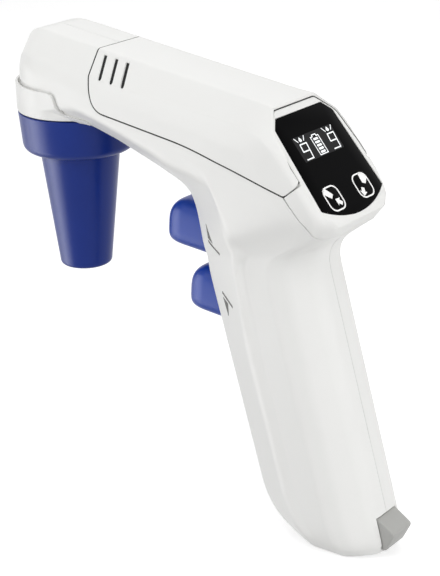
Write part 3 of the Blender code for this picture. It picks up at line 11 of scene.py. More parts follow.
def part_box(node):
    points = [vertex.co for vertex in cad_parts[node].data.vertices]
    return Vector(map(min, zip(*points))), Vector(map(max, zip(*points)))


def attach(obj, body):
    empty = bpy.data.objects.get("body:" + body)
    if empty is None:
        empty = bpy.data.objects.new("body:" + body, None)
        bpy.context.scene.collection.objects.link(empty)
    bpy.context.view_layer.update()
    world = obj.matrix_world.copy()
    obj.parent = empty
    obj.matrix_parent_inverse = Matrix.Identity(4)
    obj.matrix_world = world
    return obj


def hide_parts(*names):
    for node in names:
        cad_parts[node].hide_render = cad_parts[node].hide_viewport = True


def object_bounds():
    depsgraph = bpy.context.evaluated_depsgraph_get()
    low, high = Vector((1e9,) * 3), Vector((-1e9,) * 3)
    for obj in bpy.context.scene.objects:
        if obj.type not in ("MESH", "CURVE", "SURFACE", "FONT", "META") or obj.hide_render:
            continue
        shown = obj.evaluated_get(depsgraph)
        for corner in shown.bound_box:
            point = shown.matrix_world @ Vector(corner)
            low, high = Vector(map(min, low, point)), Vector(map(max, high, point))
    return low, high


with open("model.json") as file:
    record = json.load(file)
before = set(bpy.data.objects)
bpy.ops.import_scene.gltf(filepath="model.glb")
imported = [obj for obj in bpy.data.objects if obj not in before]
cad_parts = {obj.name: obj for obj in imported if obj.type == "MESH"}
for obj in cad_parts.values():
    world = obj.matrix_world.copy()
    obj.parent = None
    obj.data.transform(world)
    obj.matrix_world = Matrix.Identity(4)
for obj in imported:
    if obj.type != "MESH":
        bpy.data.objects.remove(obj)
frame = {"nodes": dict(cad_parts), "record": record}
cadBox = [list(corner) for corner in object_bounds()]
nodes = frame["nodes"]
print("frame loaded:", len(nodes), "nodes")

scene = bpy.context.scene
scene.view_settings.view_transform = "Standard"

noseLow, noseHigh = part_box("nose_cone")
noseAxisX = (noseLow[0] + noseHigh[0]) / 2
noseMouthZ = noseLow[2]

# Camera: the photograph's view, aimed at a point given from the mouth of the nose
photoView = {
    "azimuth": 38.28,
    "elevation": 21.2,
    "roll": -1.52,
    "distance": 0.5704,
    "lens": 101.46,
    "sensor": 36.0,
    "nearest": 0.01,
    "aim": (0.0586, 0.0048, 0.0004),
}


def placed(name, data):
    made = bpy.data.objects.new(name, data)
    scene.collection.objects.link(made)
    return made


def outward(side, rise):
    # Direction away from the part, by the angle round it and the angle above it
    side, rise = radians(side), radians(rise)
    return Vector((sin(side) * cos(rise), -cos(side) * cos(rise), sin(rise)))


def makeCamera(view):
    side, turn = radians(view["azimuth"]), radians(view["roll"])
    back = outward(view["azimuth"], view["elevation"])
    right = Vector((cos(side), sin(side), 0))
    up = back.cross(right)
    place = Matrix((cos(turn) * right + sin(turn) * up, cos(turn) * up - sin(turn) * right, back)).transposed().to_4x4()
    place.translation = Vector(view["aim"]) + Vector((noseAxisX, 0, noseMouthZ)) + back * view["distance"]
    data = bpy.data.cameras.new("photoCamera")
    data.lens, data.sensor_width, data.clip_start = view["lens"], view["sensor"], view["nearest"]
    scene.camera = placed("photoCamera", data)
    scene.camera.matrix_world = place


makeCamera(photoView)


# Body shape: two guide lines in the side view and sections between them, in metres from the nose axis
# and the sole. A section is half-widths, the shares of its depth where they lie, and corner rounds.
body = {
    "headBottom": 0.1369, "headReach": 0.0189, "headRound": 0.0165, "topZ": 0.1656, "topSlope": 8.0,
    "underSlope": 19.8, "underX": 0.0130, "throatRound": 0.0100, "panelTop": (0.0963, 0.1492), "panelTilt": 39.2,
    "rimProud": 0.0005, "humpV": 0.0416, "humpRound": 0.0055, "neck": (0.1068, 0.1048), "neckRound": 0.0100,
    "gripFront": (0.0640, 0.0895), "gripTopLean": 10.0, "gripLean": 16.0, "gripBackX": 0.1076, "gripBackLean": 17.3,
    "chinRound": 0.0240, "heelRound": 0.0050, "underRound": 0.03, "frontRound": 0.04, "fullDepth": 0.024,
    "pivot": (0.032, 0.0845), "wall": 0.0020, "gap": 0.0003,
    "fanShares": (-0.07, 0.25, 0.5, 0.75), "headAngles": (6, 4), "insideAngles": (18, 8), "leastDepth": 0.004,
    "forms": {
        # top, shoulder, drop, side, hollow, high, low, under, under drop, foot, six corner rounds
        "head": (0.0109, 0.0191, 0.0076, 0.0209, 0, 0.45, 0.62, 0.0209, 0.003, 0.0195,
                 0.0030, 0.0045, 0.014, 0.014, 0.001, 0.001),
        "barrel": (0.0109, 0.0191, 0.0076, 0.0213, 0, 0.45, 0.62, 0.0209, 0.009, 0.012,
                   0.0025, 0.0045, 0.014, 0.014, 0.008, 0.010),
        "rim": (0.0118, 0.0192, 0.0072, 0.0216, 0, 0.42, 0.6, 0.0203, 0.016, 0.0105,
                0.0016, 0.0040, 0.014, 0.014, 0.010, 0.010),
        "panel": (0.0188, 0.0206, 0.0022, 0.0213, 0, 0.35, 0.6, 0.0199, 0.020, 0.010,
                  0.0018, 0.003, 0.014, 0.014, 0.010, 0.009),
        "hump": (0.0135, 0.0188, 0.0042, 0.0206, 0.0004, 0.30, 0.6, 0.0196, 0.022, 0.009,
                 0.006, 0.006, 0.012, 0.010, 0.008, 0.008),
        "neck": (0.0070, 0.0152, 0.0078, 0.0196, 0.0028, 0.32, 0.52, 0.0193, 0.021, 0.009,
                 0.008, 0.010, 0.008, 0.008, 0.008, 0.008),
        "grip": (0.0072, 0.0148, 0.0080, 0.0178, 0.0008, 0.30, 0.52, 0.0178, 0.017, 0.009,
                 0.008, 0.010, 0.008, 0.008, 0.008, 0.009),
        "sole": (0.0060, 0.0100, 0.0050, 0.0118, 0, 0.30, 0.52, 0.0118, 0.006, 0.007,
                 0.008, 0.010, 0.008, 0.008, 0.008, 0.008),
    },
    # angle, form before, form after, share, depth of the palm hollow
    "fan": ((47.2, "rim", "panel", 0.85, 0), (54, "rim", "panel", 1, 0), (62, "panel", "hump", 0, 0),
            (65.6, "panel", "hump", 0.25, 0.0003), (67.4, "panel", "hump", 0.5, 0.0017),
            (69.4, "panel", "hump", 0.9, 0.0024), (71.2, "hump", "neck", 0.4, 0.0028),
            (72.8, "hump", "neck", 0.8, 0.0028)),
    "grip": ((0, 0.0), (0.0055, 0.15), (0.0140, 0.55), (0.0285, 1.0), (0.0450, 1.0), (0.0620, 1.0)),
    "sole": ((0.0140, 0.65, 0.02), (0.0062, 0.3, 0.08), (0.0034, 0.15, 0.27), (0.0012, 0.06, 0.58), (0.0, 0.0, 1.0)),
    "hollowPlace": 4,
    "widthPlaces": [0, 1, 3, 7, 9],
}


def leaning(angle):
    # In the side view, the directions out of a face that leans back by an angle, and up along it
    c, s = cos(radians(angle)), sin(radians(angle))
    return Vector((c, 0, s)), Vector((-s, 0, c))


def slopeOf(name):
    return tan(radians(body[name]))


panelOut, panelUp = leaning(body["panelTilt"])
panelDown = -panelUp
panelOrigin = Vector((body["panelTop"][0] + noseAxisX, 0, body["panelTop"][1]))
panelPlace = Matrix((panelDown, Vector((0, 1, 0)), panelOut)).transposed().to_4x4()   # X down, Y across, Z out
panelPlace.translation = panelOrigin
noseAxis = Matrix.Translation((noseAxisX, 0, 0))


def arcAt(before, here, after, radius, steps):
    into, out = before - here, after - here
    half = into.angle(out) / 2
    if radius <= 0 or abs(half - pi / 2) < 1e-4:
        return [here.copy()] * (1 if radius <= 0 else steps + 1)
    reach = min(radius / tan(half), 0.49 * into.length, 0.49 * out.length)
    into.normalize()
    out.normalize()
    centre = here + (into + out).normalized() * (reach / cos(half))
    first, last = here + into * reach - centre, here + out * reach - centre
    sweep = first.angle(last)
    return [centre + (first * sin((1 - k / steps) * sweep) + last * sin(k / steps * sweep)) / sin(sweep)
            for k in range(steps + 1)]


def roundedLoop(corners, steps=6):
    # The outline through corners of x, y and radius
    found = []
    for k in range(len(corners)):
        before, here, after = (Vector(corners[(k + j) % len(corners)][:2]) for j in (-1, 0, 1))
        found += arcAt(before, here, after, corners[k][2], steps)
    return found


def topLine(x):
    return body["topZ"] - slopeOf("topSlope") * x


def onPanel(v, out):
    place = Vector((body["panelTop"][0], 0, body["panelTop"][1])) + panelDown * v + panelOut * out
    return place.x, place.z


def rimPoint():
    x, z = onPanel(0, body["rimProud"])
    slope = -1 / slopeOf("panelTilt")
    at = (topLine(0) - z + slope * x) / (slope + slopeOf("topSlope"))
    return at, topLine(at)


def gripFront(z):
    x, high = body["gripFront"]
    return x - slopeOf("gripTopLean" if z > high else "gripLean") * (z - high)


def gripBack(z):
    return body["gripBackX"] - slopeOf("gripBackLean") * (z - body["gripFront"][1])


def innerGuide():
    slope, lean = slopeOf("underSlope"), slopeOf("gripTopLean")
    frontX, frontZ = body["gripFront"]
    rise = body["headBottom"] + slope * body["underX"]
    throatX = (frontX + lean * (frontZ - rise)) / (1 - lean * slope)
    return roundedLoop([(-body["headReach"] - 0.01, body["headBottom"], 0),
                        (body["underX"], body["headBottom"], body["underRound"]),
                        (throatX, rise - slope * throatX, body["throatRound"]), (frontX, frontZ, body["frontRound"]),
                        (gripFront(0), 0, body["chinRound"]), (gripBack(0), 0, 0)], 16)


def outerGuide():
    reach = body["headReach"]
    return roundedLoop([(-reach, body["headBottom"], 0), (-reach, topLine(-reach), body["headRound"]),
                        (*rimPoint(), 0), (*onPanel(body["humpV"], body["rimProud"]), body["humpRound"]),
                        (*body["neck"], body["neckRound"]), (gripBack(0), 0, body["heelRound"]),
                        (gripFront(0), 0, 0)], 16)


def crossings(line, start, direction):
    found = []
    across = Vector((-direction.y, direction.x))
    for a, b in zip(line, line[1:]):
        sideA, sideB = (a - start).dot(across), (b - start).dot(across)
        if sideA * sideB <= 0 and sideA != sideB:
            found.append((a + (b - a) * (sideA / (sideA - sideB)) - start).dot(direction))
    return sorted(found)


def knownSections(inset):
    # Start, direction and form as one row of numbers, from the middle of the head to the sole
    forms = {name: np.array(values, float) for name, values in body["forms"].items()}
    pivot = Vector(body["pivot"])
    rows = [(Vector((0.001, 0)), Vector((0, 1)), forms["head"]),
            (Vector((body["underX"], 0)), Vector((0, 1)), 0.5 * (forms["head"] + forms["barrel"]))]
    rim = Vector(rimPoint()) - pivot
    for share in body["fanShares"]:
        angle = share * atan2(rim.x, rim.y)
        rows.append((pivot, Vector((sin(angle), cos(angle))), forms["barrel"]))
    rows.append((pivot, rim.normalized(), forms["rim"]))
    for angle, first, last, share, hollow in body["fan"]:
        values = forms[first] + (forms[last] - forms[first]) * share
        values[body["hollowPlace"]] = hollow
        rows.append((pivot, Vector((sin(radians(angle)), cos(radians(angle)))), values))
    lean = radians(body["gripLean"])
    for drop, share in body["grip"]:
        height = body["gripFront"][1] + 0.001 - drop
        rows.append((Vector((gripFront(height), height)), Vector((cos(lean), sin(lean))),
                     forms["neck"] + (forms["grip"] - forms["neck"]) * share))
    for rise, tilt, share in body["sole"]:
        height = inset + rise * (1 - inset / body["sole"][0][0])
        rows.append((Vector((gripFront(height), height)), Vector((cos(lean * tilt), sin(lean * tilt))),
                     forms["grip"] + (forms["sole"] - forms["grip"]) * share))
    return [np.array([*start, *direction, *values]) for start, direction, values in rows]


def denseSections(inset, spacing):
    # Smooth rows between the known ones, each through its neighbours' slopes
    rows = knownSections(inset)
    place = [0.0]
    for a, b in zip(rows, rows[1:]):
        step = [np.hypot(*(b[:2] + b[2:4] * reach - a[:2] - a[2:4] * reach)) for reach in (0.02, 0.08)]
        place.append(place[-1] + sum(step) / 2)
    slopes = []
    for k in range(len(rows)):
        low, high = max(k - 1, 0), min(k + 1, len(rows) - 1)
        slopes.append((rows[high] - rows[low]) / (place[high] - place[low]))
    head = np.array(body["forms"]["head"], float)
    found = []
    first, stride = body["insideAngles" if inset else "headAngles"]
    for angle in range(first, 88, stride):
        squeezed = head.copy()
        squeezed[body["widthPlaces"]] = (squeezed[body["widthPlaces"]] - inset) * sin(radians(angle)) + inset
        found.append(np.array([-(body["headReach"] - inset) * cos(radians(angle)), 0, 0, 1, *squeezed]))
    for k in range(len(rows) - 1):
        width = place[k + 1] - place[k]
        count = max(1, round(width / spacing))
        for step in range(count):
            t = step / count
            a, b, c, d = (2 * t - 3) * t * t + 1, ((t - 2) * t + 1) * t, (3 - 2 * t) * t * t, (t - 1) * t * t
            found.append(a * rows[k] + b * width * slopes[k] + c * rows[k + 1] + d * width * slopes[k + 1])
    return found + [rows[-1]]


def halfSection(values, depth, inset, steps):
    top, shoulder, drop, side, hollow, high, low, under, underDrop, foot = values[:10]
    rounds = values[10:]
    short = min(1, depth / body["fullDepth"])
    drop, underDrop = short * drop, short * underDrop
    waist = side - hollow
    flat, least = 0.4 * inset, 0.25   # how much the flats narrow with the inset, and the least share they keep
    return roundedLoop([(0, inset, 0), (max(top - flat, least * (shoulder - inset)), inset, rounds[0]),
                        (shoulder - inset, drop + flat, rounds[1]),
                        (waist - inset, drop + high * (depth - drop) * 0.5, rounds[2]),
                        (waist - inset, low * depth, rounds[3]), (under - inset, depth - underDrop, rounds[4]),
                        (max(min(foot - flat, under - 1.1 * inset), least * (under - inset)), depth - inset,
                         rounds[5]), (0, depth - inset, 0)], steps)


def bodyRings(inset, steps, spacing):
    inner, outer = innerGuide(), outerGuide()
    rings = []
    for row in denseSections(inset, spacing):
        start, direction = Vector(row[:2]), Vector(row[2:4]).normalized()
        if start.y <= inset and start.x > body["pivot"][0]:
            near = [p.x for p in inner if p.y < 1e-5][0] - start.x
            far = [p.x for p in outer if p.y < 1e-5][0] - start.x
        else:
            low = crossings(inner, start, direction)
            near = low[0] if start.x <= body["pivot"][0] + 1e-6 else min(low, key=abs)
            far = next(s for s in crossings(outer, start, direction) if s > near + body["leastDepth"])
        bottom, top = start + direction * near, start + direction * far
        down = (bottom - top).normalized()
        side = [(w, top + down * q) for w, q in halfSection(row[4:], (bottom - top).length, inset, steps)]
        ring = [(p.x + noseAxisX, -w, p.y) for w, p in side]
        rings.append(ring + [(p.x + noseAxisX, w, p.y) for w, p in reversed(side[1:-1])])
    return rings


def bodyLoft(name, inset, steps=6, spacing=0.0024):
    return loft(name, bodyRings(inset, steps, spacing))


# Mesh tools
def meshObject(name, bm):
    # The object that a finished bmesh makes, faces outwards
    bmesh.ops.recalc_face_normals(bm, faces=bm.faces)
    mesh = bpy.data.meshes.new(name)
    bm.to_mesh(mesh)
    bm.free()
    return placed(name, mesh)


def baked(item):
    bpy.context.view_layer.update()
    mesh = bpy.data.meshes.new_from_object(item.evaluated_get(bpy.context.evaluated_depsgraph_get()))
    item.modifiers.clear()
    old = item.data
    item.data = mesh
    bpy.data.meshes.remove(old)
    return item


def discard(item):
    mesh = item.data
    bpy.data.objects.remove(item)
    bpy.data.meshes.remove(mesh)


def boolean(item, operation, *others):
    for other in others:
        change = item.modifiers.new("shape", "BOOLEAN")
        change.operation, change.solver, change.object = operation, "EXACT", other
        baked(item)
        discard(other)
    return item


def cut(item, *others):
    return boolean(item, "DIFFERENCE", *others)


def keep(item, other):
    return boolean(item, "INTERSECT", other)


def join(item, *others):
    return boolean(item, "UNION", *others)


def copyOf(item, name):
    return placed(name, item.data.copy())


def mergedNode(name):
    # A copy of a CAD node with its loose triangles welded
    made = copyOf(nodes[name], name + "Copy")
    bm = bmesh.new()
    bm.from_mesh(made.data)
    bmesh.ops.remove_doubles(bm, verts=bm.verts, dist=1e-6)
    bm.to_mesh(made.data)
    bm.free()
    return made


def tidy(item, angle=38, weld=2e-6):
    # Weld tiny edges, face outwards and shade smooth up to an angle
    bm = bmesh.new()
    bm.from_mesh(item.data)
    bmesh.ops.remove_doubles(bm, verts=bm.verts, dist=weld)
    bmesh.ops.dissolve_degenerate(bm, edges=bm.edges, dist=weld)
    bmesh.ops.delete(bm, geom=[edge for edge in bm.edges if not edge.link_faces], context="EDGES")
    bmesh.ops.holes_fill(bm, edges=[edge for edge in bm.edges if len(edge.link_faces) == 1], sides=12)
    bmesh.ops.recalc_face_normals(bm, faces=bm.faces)
    if bm.calc_volume(signed=True) < 0:
        bmesh.ops.reverse_faces(bm, faces=bm.faces)
    bm.to_mesh(item.data)
    bm.free()
    item.data.shade_smooth()
    item.data.set_sharp_from_angle(angle=radians(angle))
    return item


borrowed = {"reach": 0.00012, "facing": 0.92, "toMiddle": 0.04, "length": 0.5, "agreement": 0.8}


def borrowNormals(item, smooth):
    # Corners on the outside take the unbroken body's normals, so that cuts leave no mark in the shading
    source, mesh = smooth.data, item.data
    corners = [n.vector.copy() for n in source.corner_normals]
    places = [v.co.copy() for v in mesh.vertices]
    normals = [n.vector.copy() for n in mesh.corner_normals]
    for face in mesh.polygons:
        found, near, normal, index = smooth.closest_point_on_mesh(face.center)
        away = (near - face.center).length
        if not found or away > borrowed["reach"] or normal.dot(face.normal) < borrowed["facing"]:
            continue
        for loop, vertex in zip(face.loop_indices, face.vertices):
            probe = places[vertex].lerp(face.center, borrowed["toMiddle"])
            found, near, normal, index = smooth.closest_point_on_mesh(probe)
            other = source.polygons[index]
            weights = poly_3d_calc([source.vertices[v].co for v in other.vertices], near)
            blend = sum((corners[k] * w for k, w in zip(other.loop_indices, weights)), Vector())
            size = blend.length
            if size > borrowed["length"] and blend.dot(face.normal) > borrowed["agreement"] * size:
                normals[loop] = blend.normalized()
    mesh.normals_split_custom_set(normals)


def turned(angle, axis):
    return Matrix.Rotation(radians(angle), 4, axis)


def frameAlong(origin, along, up):
    zAxis = Vector(along).normalized()
    yAxis = zAxis.cross(Vector(up)).normalized()
    made = Matrix((yAxis.cross(zAxis), yAxis, zAxis)).transposed().to_4x4()
    made.translation = Vector(origin)
    return made


def bridge(bm, first, second):
    # Faces between two closed rings of as many points
    for k in range(len(first)):
        after = (k + 1) % len(first)
        bm.faces.new((first[k], first[after], second[after], second[k]))


def prisms(name, outlines, low, high, place):
    # Closed outlines in local XY, extruded between two local heights
    bm = bmesh.new()
    for outline in outlines:
        rings = [[bm.verts.new(place @ Vector((p[0], p[1], level))) for p in outline] for level in (low, high)]
        bridge(bm, *rings)
        bm.faces.new(reversed(rings[0]))
        bm.faces.new(rings[1])
    bmesh.ops.triangulate(bm, faces=[face for face in bm.faces if len(face.verts) > 4])
    return meshObject(name, bm)


def prism(name, outline, low, high, place):
    return prisms(name, [outline], low, high, place)


def panelPrism(name, outline, low, high):
    return prism(name, outline, low, high, panelPlace)


def sideFrame(middle=0.0):
    # The side view, measured from the nose axis; local Z runs to the left
    return Matrix(((1, 0, 0, noseAxisX), (0, 0, -1, middle), (0, 1, 0, 0), (0, 0, 0, 1)))


def sidePrism(name, outline, halfWidth=0.03, middle=0.0):
    return prism(name, outline, -halfWidth, halfWidth, sideFrame(middle))


def loft(name, rings):
    # A closed form through rings of as many points each
    bm = bmesh.new()
    rows = [[bm.verts.new(p) for p in ring] for ring in rings]
    for first, second in zip(rows, rows[1:]):
        bridge(bm, first, second)
    bm.faces.new(rows[0])
    bm.faces.new(reversed(rows[-1]))
    return meshObject(name, bm)


def pillow(name, outline, low, high, edge, place=panelPlace, both=False, steps=4):
    # A plate with its upper outline rounded, and its lower one too where both is set
    turns = [pi / 2 * k / steps for k in range(steps + 1)]
    levels = [(edge * (1 - cos(a)), high - edge + edge * sin(a)) for a in turns]
    if both:
        levels = [(edge * (1 - cos(a)), low + edge - edge * sin(a)) for a in reversed(turns)] + levels
    else:
        levels.insert(0, (0.0, low))
    return loft(name, [[place @ Vector((*p, level)) for p in grown(outline, -inset)] for inset, level in levels])


def rod(name, radius, start, end, steps=32):
    start, end = Vector(start), Vector(end)
    bm = bmesh.new()
    bmesh.ops.create_cone(bm, cap_ends=True, segments=steps, radius1=radius, radius2=radius,
                          depth=(end - start).length)
    along = end - start
    place = frameAlong((start + end) / 2, along, (0, 1, 0) if abs(along.normalized().y) < 0.9 else (1, 0, 0))
    bmesh.ops.transform(bm, matrix=place, verts=bm.verts)
    return meshObject(name, bm)


def revolve(name, profile, steps, place=Matrix(), pitch=0.003):
    # A closed profile of (radius, height, thread depth) turned round local Z. A depth below 0 cuts inward,
    # half a pitch off, so that the two threads mesh
    bm = bmesh.new()
    rows = []
    for k in range(steps):
        angle = 2 * pi * k / steps
        row = []
        for radius, height, *thread in profile:
            here = radius
            if thread:
                phase = (height / pitch + k / steps + (0.5 if thread[0] < 0 else 0)) % 1
                here += thread[0] * max(0, min(1, 2.0 - 6 * abs(phase - 0.5)))
            row.append(bm.verts.new(place @ Vector((here * cos(angle), here * sin(angle), height))))
        rows.append(row)
    for k in range(steps):
        first, second = rows[k], rows[(k + 1) % steps]
        for j in range(len(profile)):
            after = (j + 1) % len(profile)
            bm.faces.new((first[j], second[j], second[after], first[after]))
    bmesh.ops.remove_doubles(bm, verts=bm.verts, dist=1e-7)
    return meshObject(name, bm)


def grown(outline, amount):
    count = len(outline)
    turn = sum(outline[k - 1].x * p.y - p.x * outline[k - 1].y for k, p in enumerate(outline))
    found = []
    for k, here in enumerate(outline):
        edge = outline[(k + 1) % count] - outline[k - 1]
        normal = Vector((edge.y, -edge.x)).normalized() * (1 if turn > 0 else -1)
        found.append(here + normal * amount)
    return found


def roundedBox(centreX, centreY, length, width, radius, steps=6):
    return roundedLoop([(centreX + a * length / 2, centreY + b * width / 2, radius)
                        for a, b in ((-1, -1), (1, -1), (1, 1), (-1, 1))], steps)


# Materials, each a small node tree
def newMaterial(name):
    made = bpy.data.materials.new(name)
    made.use_nodes = True
    tree = made.node_tree
    return made, tree, tree.nodes["Principled BSDF"]


def feed(tree, node, inputs):
    # A socket as value is linked, and any other value is the input's own
    for key, value in inputs.items():
        if isinstance(value, bpy.types.NodeSocket):
            tree.links.new(value, node.inputs[key])
        else:
            node.inputs[key].default_value = value


def addNode(tree, kind, inputs, **settings):
    node = tree.nodes.new(kind)
    for key, value in settings.items():
        setattr(node, key, value)
    feed(tree, node, inputs)
    return node


grainDepth = 0.0001


def mouldedPlastic(name, look):
    # Base colour with a faint cloudiness, fine spark-eroded grain in the bump and uneven polish
    color, cloud, cloudScale, roughness, polish, smearScale, grain, grainScale, specular, glow, metal = look
    made, tree, shader = newMaterial(name)
    space = addNode(tree, "ShaderNodeTexCoord", {}).outputs["Object"]
    clouds, smears, grains = (
        addNode(tree, "ShaderNodeTexNoise", {"Scale": scale, "Detail": detail, "Vector": space}).outputs["Fac"]
        for scale, detail in ((cloudScale, 3.0), (smearScale, 4.0), (grainScale, 2.0)))
    shade = addNode(tree, "ShaderNodeValToRGB", {"Fac": clouds})
    for element, place, share in zip(shade.color_ramp.elements, (0.3, 0.7), (1 - cloud, 1)):
        element.position, element.color = place, (*(channel * share for channel in color), 1)
    smear = addNode(tree, "ShaderNodeMapRange",
                    {"Value": smears, "To Min": roughness - polish, "To Max": roughness + polish})
    bump = addNode(tree, "ShaderNodeBump", {"Strength": grain, "Distance": grainDepth, "Height": grains})
    # The glow column makes a finish emit its base colour: the lit segments' own light, and a painted glow on the white
    # ink
    feed(tree, shader, {"Base Color": shade.outputs["Color"], "Roughness": smear.outputs["Result"],
                        "Normal": bump.outputs["Normal"], "Metallic": metal, "Specular IOR Level": specular,
                        "Emission Color": (*color, 1), "Emission Strength": glow})
    return made


finishes = {
    # colour, cloudiness and its scale, roughness, its change and scale, grain and its scale, specular, glow, metal
    "white_abs": ((0.80, 0.80, 0.785), 0.02, 30, 0.34, 0.04, 60, 0.10, 5200, 0.2, 0, 0),
    "black_gloss": ((0.0015, 0.0015, 0.0018), 0.2, 40, 0.16, 0.03, 50, 0.02, 3000, 0.03, 0, 0),
    "lcd_glass": ((0.024, 0.024, 0.025), 0.1, 60, 0.2, 0.03, 50, 0.02, 3000, 0.04, 0, 0),
    "black_key": ((0.002, 0.002, 0.002), 0.2, 60, 0.24, 0.04, 90, 0.08, 6000, 0.03, 0, 0),
    # the white ink also glows a little: painted light on top of the print
    "white_ink_painted_glow": ((0.86, 0.86, 0.85), 0.02, 200, 0.5, 0.04, 200, 0.05, 6000, 0.2, 0.12, 0),
    "lit_white": ((0.85, 0.87, 0.88), 0.02, 200, 0.5, 0.04, 200, 0.0, 6000, 0.2, 0.35, 0),
    "grey_ink": ((0.13, 0.13, 0.125), 0.05, 300, 0.5, 0.05, 300, 0.05, 6000, 0.2, 0, 0),
    # near-black finish of the strips in the seams and vent slots: painted shade for the depth of those gaps
    "painted_seam_shade": ((0.018, 0.018, 0.018), 0.1, 80, 0.7, 0.05, 90, 0.2, 4000, 0.2, 0, 0),
    "blue_nose": ((0.004, 0.024, 0.205), 0.08, 40, 0.30, 0.05, 70, 0.10, 5000, 0.25, 0, 0),
    "blue_trigger": ((0.006, 0.042, 0.31), 0.05, 60, 0.30, 0.05, 80, 0.08, 5000, 0.22, 0, 0),
    "silicone": ((0.68, 0.68, 0.65), 0.04, 70, 0.55, 0.05, 80, 0.2, 4000, 0.5, 0, 0),
    "grey_silicone": ((0.40, 0.40, 0.385), 0.06, 70, 0.55, 0.06, 80, 0.25, 4000, 0.5, 0, 0),
    "steel": ((0.58, 0.58, 0.57), 0.1, 120, 0.28, 0.08, 300, 0.1, 2500, 0.5, 0, 1),
    "board_green": ((0.012, 0.11, 0.045), 0.2, 90, 0.35, 0.05, 80, 0.2, 2500, 0.5, 0, 0),
    "chip_black": ((0.02, 0.02, 0.021), 0.2, 90, 0.5, 0.08, 200, 0.3, 5000, 0.5, 0, 0),
    "natural_nylon": ((0.62, 0.59, 0.51), 0.08, 80, 0.5, 0.06, 80, 0.2, 4000, 0.5, 0, 0),
    "cell_wrap": ((0.03, 0.12, 0.2), 0.05, 60, 0.3, 0.05, 60, 0.1, 2500, 0.5, 0, 0),
}
materials = {name: mouldedPlastic(name + "Finish", look) for name, look in finishes.items()}
slotOf = {entry["node"]: entry["material_slot"] for entry in frame["record"]["subparts"]}


def paint(item, finish):
    item.data.materials.clear()
    item.data.materials.append(materials[finish])


def dressNodes():
    for name, item in nodes.items():
        paint(item, slotOf[name])
        for face in item.data.polygons:
            face.material_index = 0


dressNodes()
print("finishes on", len(nodes), "nodes")


# Housing: a finely lofted outer skin over the CAD's inside, split along the moulded seams
housing = {
    "skin": 0.0012,          # depth of the finely made outer layer
    "inside": 0.0009,        # the CAD's own inside starts here
    "seam": 0.0005,
    "step": 0.0001,          # the skin's cuts stand this far from the inside's
    "collarRadius": 0.0216,
    "collarHigh": 0.0150,
    "collarEdge": 0.0008,
    "collarProud": 0.0006,   # the collar's rear ends stand this far out of the barrel's sides
    "collarSweep": ((-0.03, 0.0111, 0), (0.0074, 0.0099, 0.0022), (0.0099, 0.0035, 0.003), (0.0150, 0.0015, 0.004),
                    (0.0200, 0.0010, 0), (0.0200, -0.0005, 0), (-0.03, -0.0005, 0)),
    "collarSoft": 0.0006,
    "channel": (0.0207, 0.0150, 0.0088),   # outer and inner radius and floor of the gutter round the head
    "groove": (0.0016, 0.0009),            # width and depth of the groove above the collar's edge
    "grooveSteps": ((1.0, 0.0120), (0.5, 0.0117)),   # share of the width and front end: a trench in a trench
    "grooveLow": 0.0010,
    "seamFront": ((0.0215, 0.1627, 0.008), (0.0235, 0.1552, 0.02), (0.0270, 0.1437, 0.006), (0.0678, 0.1376, 0.15)),
    "beyond": (0.02, -0.010, -0.030),   # how far the cover's cutter runs past the top and up past the panel
    "bezelSeam": 0.0226,
    "bezelLow": 0.0600,
    "bezelDepth": 0.0070,
    "bezelSlot": 0.0180,     # the halves leave room for the bezel from here down
    "bezelRoom": (-0.0061, 0.0040),
    "bezelHalf": ((-0.0029, 0.0113, 0.002), (0.0040, 0.0176, 0.006), (0.0166, 0.0192, 0), (0.0256, 0.0192, 0)),
    "vent": {"count": 3, "pitch": 0.0049, "width": 0.0013, "length": 0.0080, "lean": 22.0, "place": (0.0268, 0.1575),
             "innerY": 0.0118, "deep": 0.010},
    "triggerZ": (0.1034, 0.0813),
    "triggerTilt": 5.0,
    "triggerHeight": 0.0174,
    "triggerHalf": 0.0080,
    "mouthGap": 0.0009,
    "mouthDepth": (-0.0120, 0.0079),
    "mouthCorner": 0.0045,
    "split": 0.00018,        # half the gap between the two halves
    "screwBore": 0.0028,
    "boreY": (0.0100, 0.0300),
    "noseCollar": 0.0214,
    "collarSlack": 0.0004,
    "spigotNeck": 0.0120,
    "nosePort": (-0.0020, 0.0041),   # heights from the head's bottom, as is the next
    "collarRoom": -0.0120,
    "screws": ((-0.0090, 0.1545), (0.0565, 0.1280), (0.0990, 0.1150), (0.1070, 0.0715), (0.1090, 0.0064)),
    "port": {"low": 0.0036, "high": 0.0150, "ridge": 0.0090, "bulge": 0.0056, "depth": 0.0011, "lip": 0.0004,
             "half": 0.0056, "up": 0.0100, "hole": 0.0036, "reach": 0.0041},
}
triggerIn = leaning(-housing["triggerTilt"])[0]
heelOut, heelUp = leaning(body["gripBackLean"])


def heelPlace(up, out):
    return Vector((gripBack(0) + noseAxisX, 0, 0)) + heelUp * up + heelOut * out


def seamOutline():
    above, *up = housing["beyond"]
    low, out = housing["bezelSeam"], body["rimProud"] + 0.0002
    return roundedLoop([(housing["seamFront"][0][0], body["topZ"] + above, 0), *housing["seamFront"],
                        (*onPanel(low, -housing["bezelDepth"]), 0.0015), (*onPanel(low - 0.0003, out), 0.0030),
                        *((*onPanel(v, out), 0) for v in up)], 8)


def bezelOutline(inset):
    half = [(v + inset if v < 0 else v, y - inset, r) for v, y, r in housing["bezelHalf"]]
    return roundedLoop([(v, -y, r) for v, y, r in half] + [(v, y, r) for v, y, r in reversed(half)], 8)


def bezelSide(firstV, deep, proud):
    last = housing["bezelLow"]
    return [onPanel(v, out) for v, out in ((firstV, proud), (last, proud), (last, -deep), (firstV, -deep))]


def triggerSeat(height):
    level = crossings(innerGuide(), Vector((0, height)), Vector((1, 0)))
    return Vector((level[-1] + noseAxisX, 0, height))


def triggerFrame(height):
    return frameAlong(triggerSeat(height), triggerIn, (0, 0, 1))


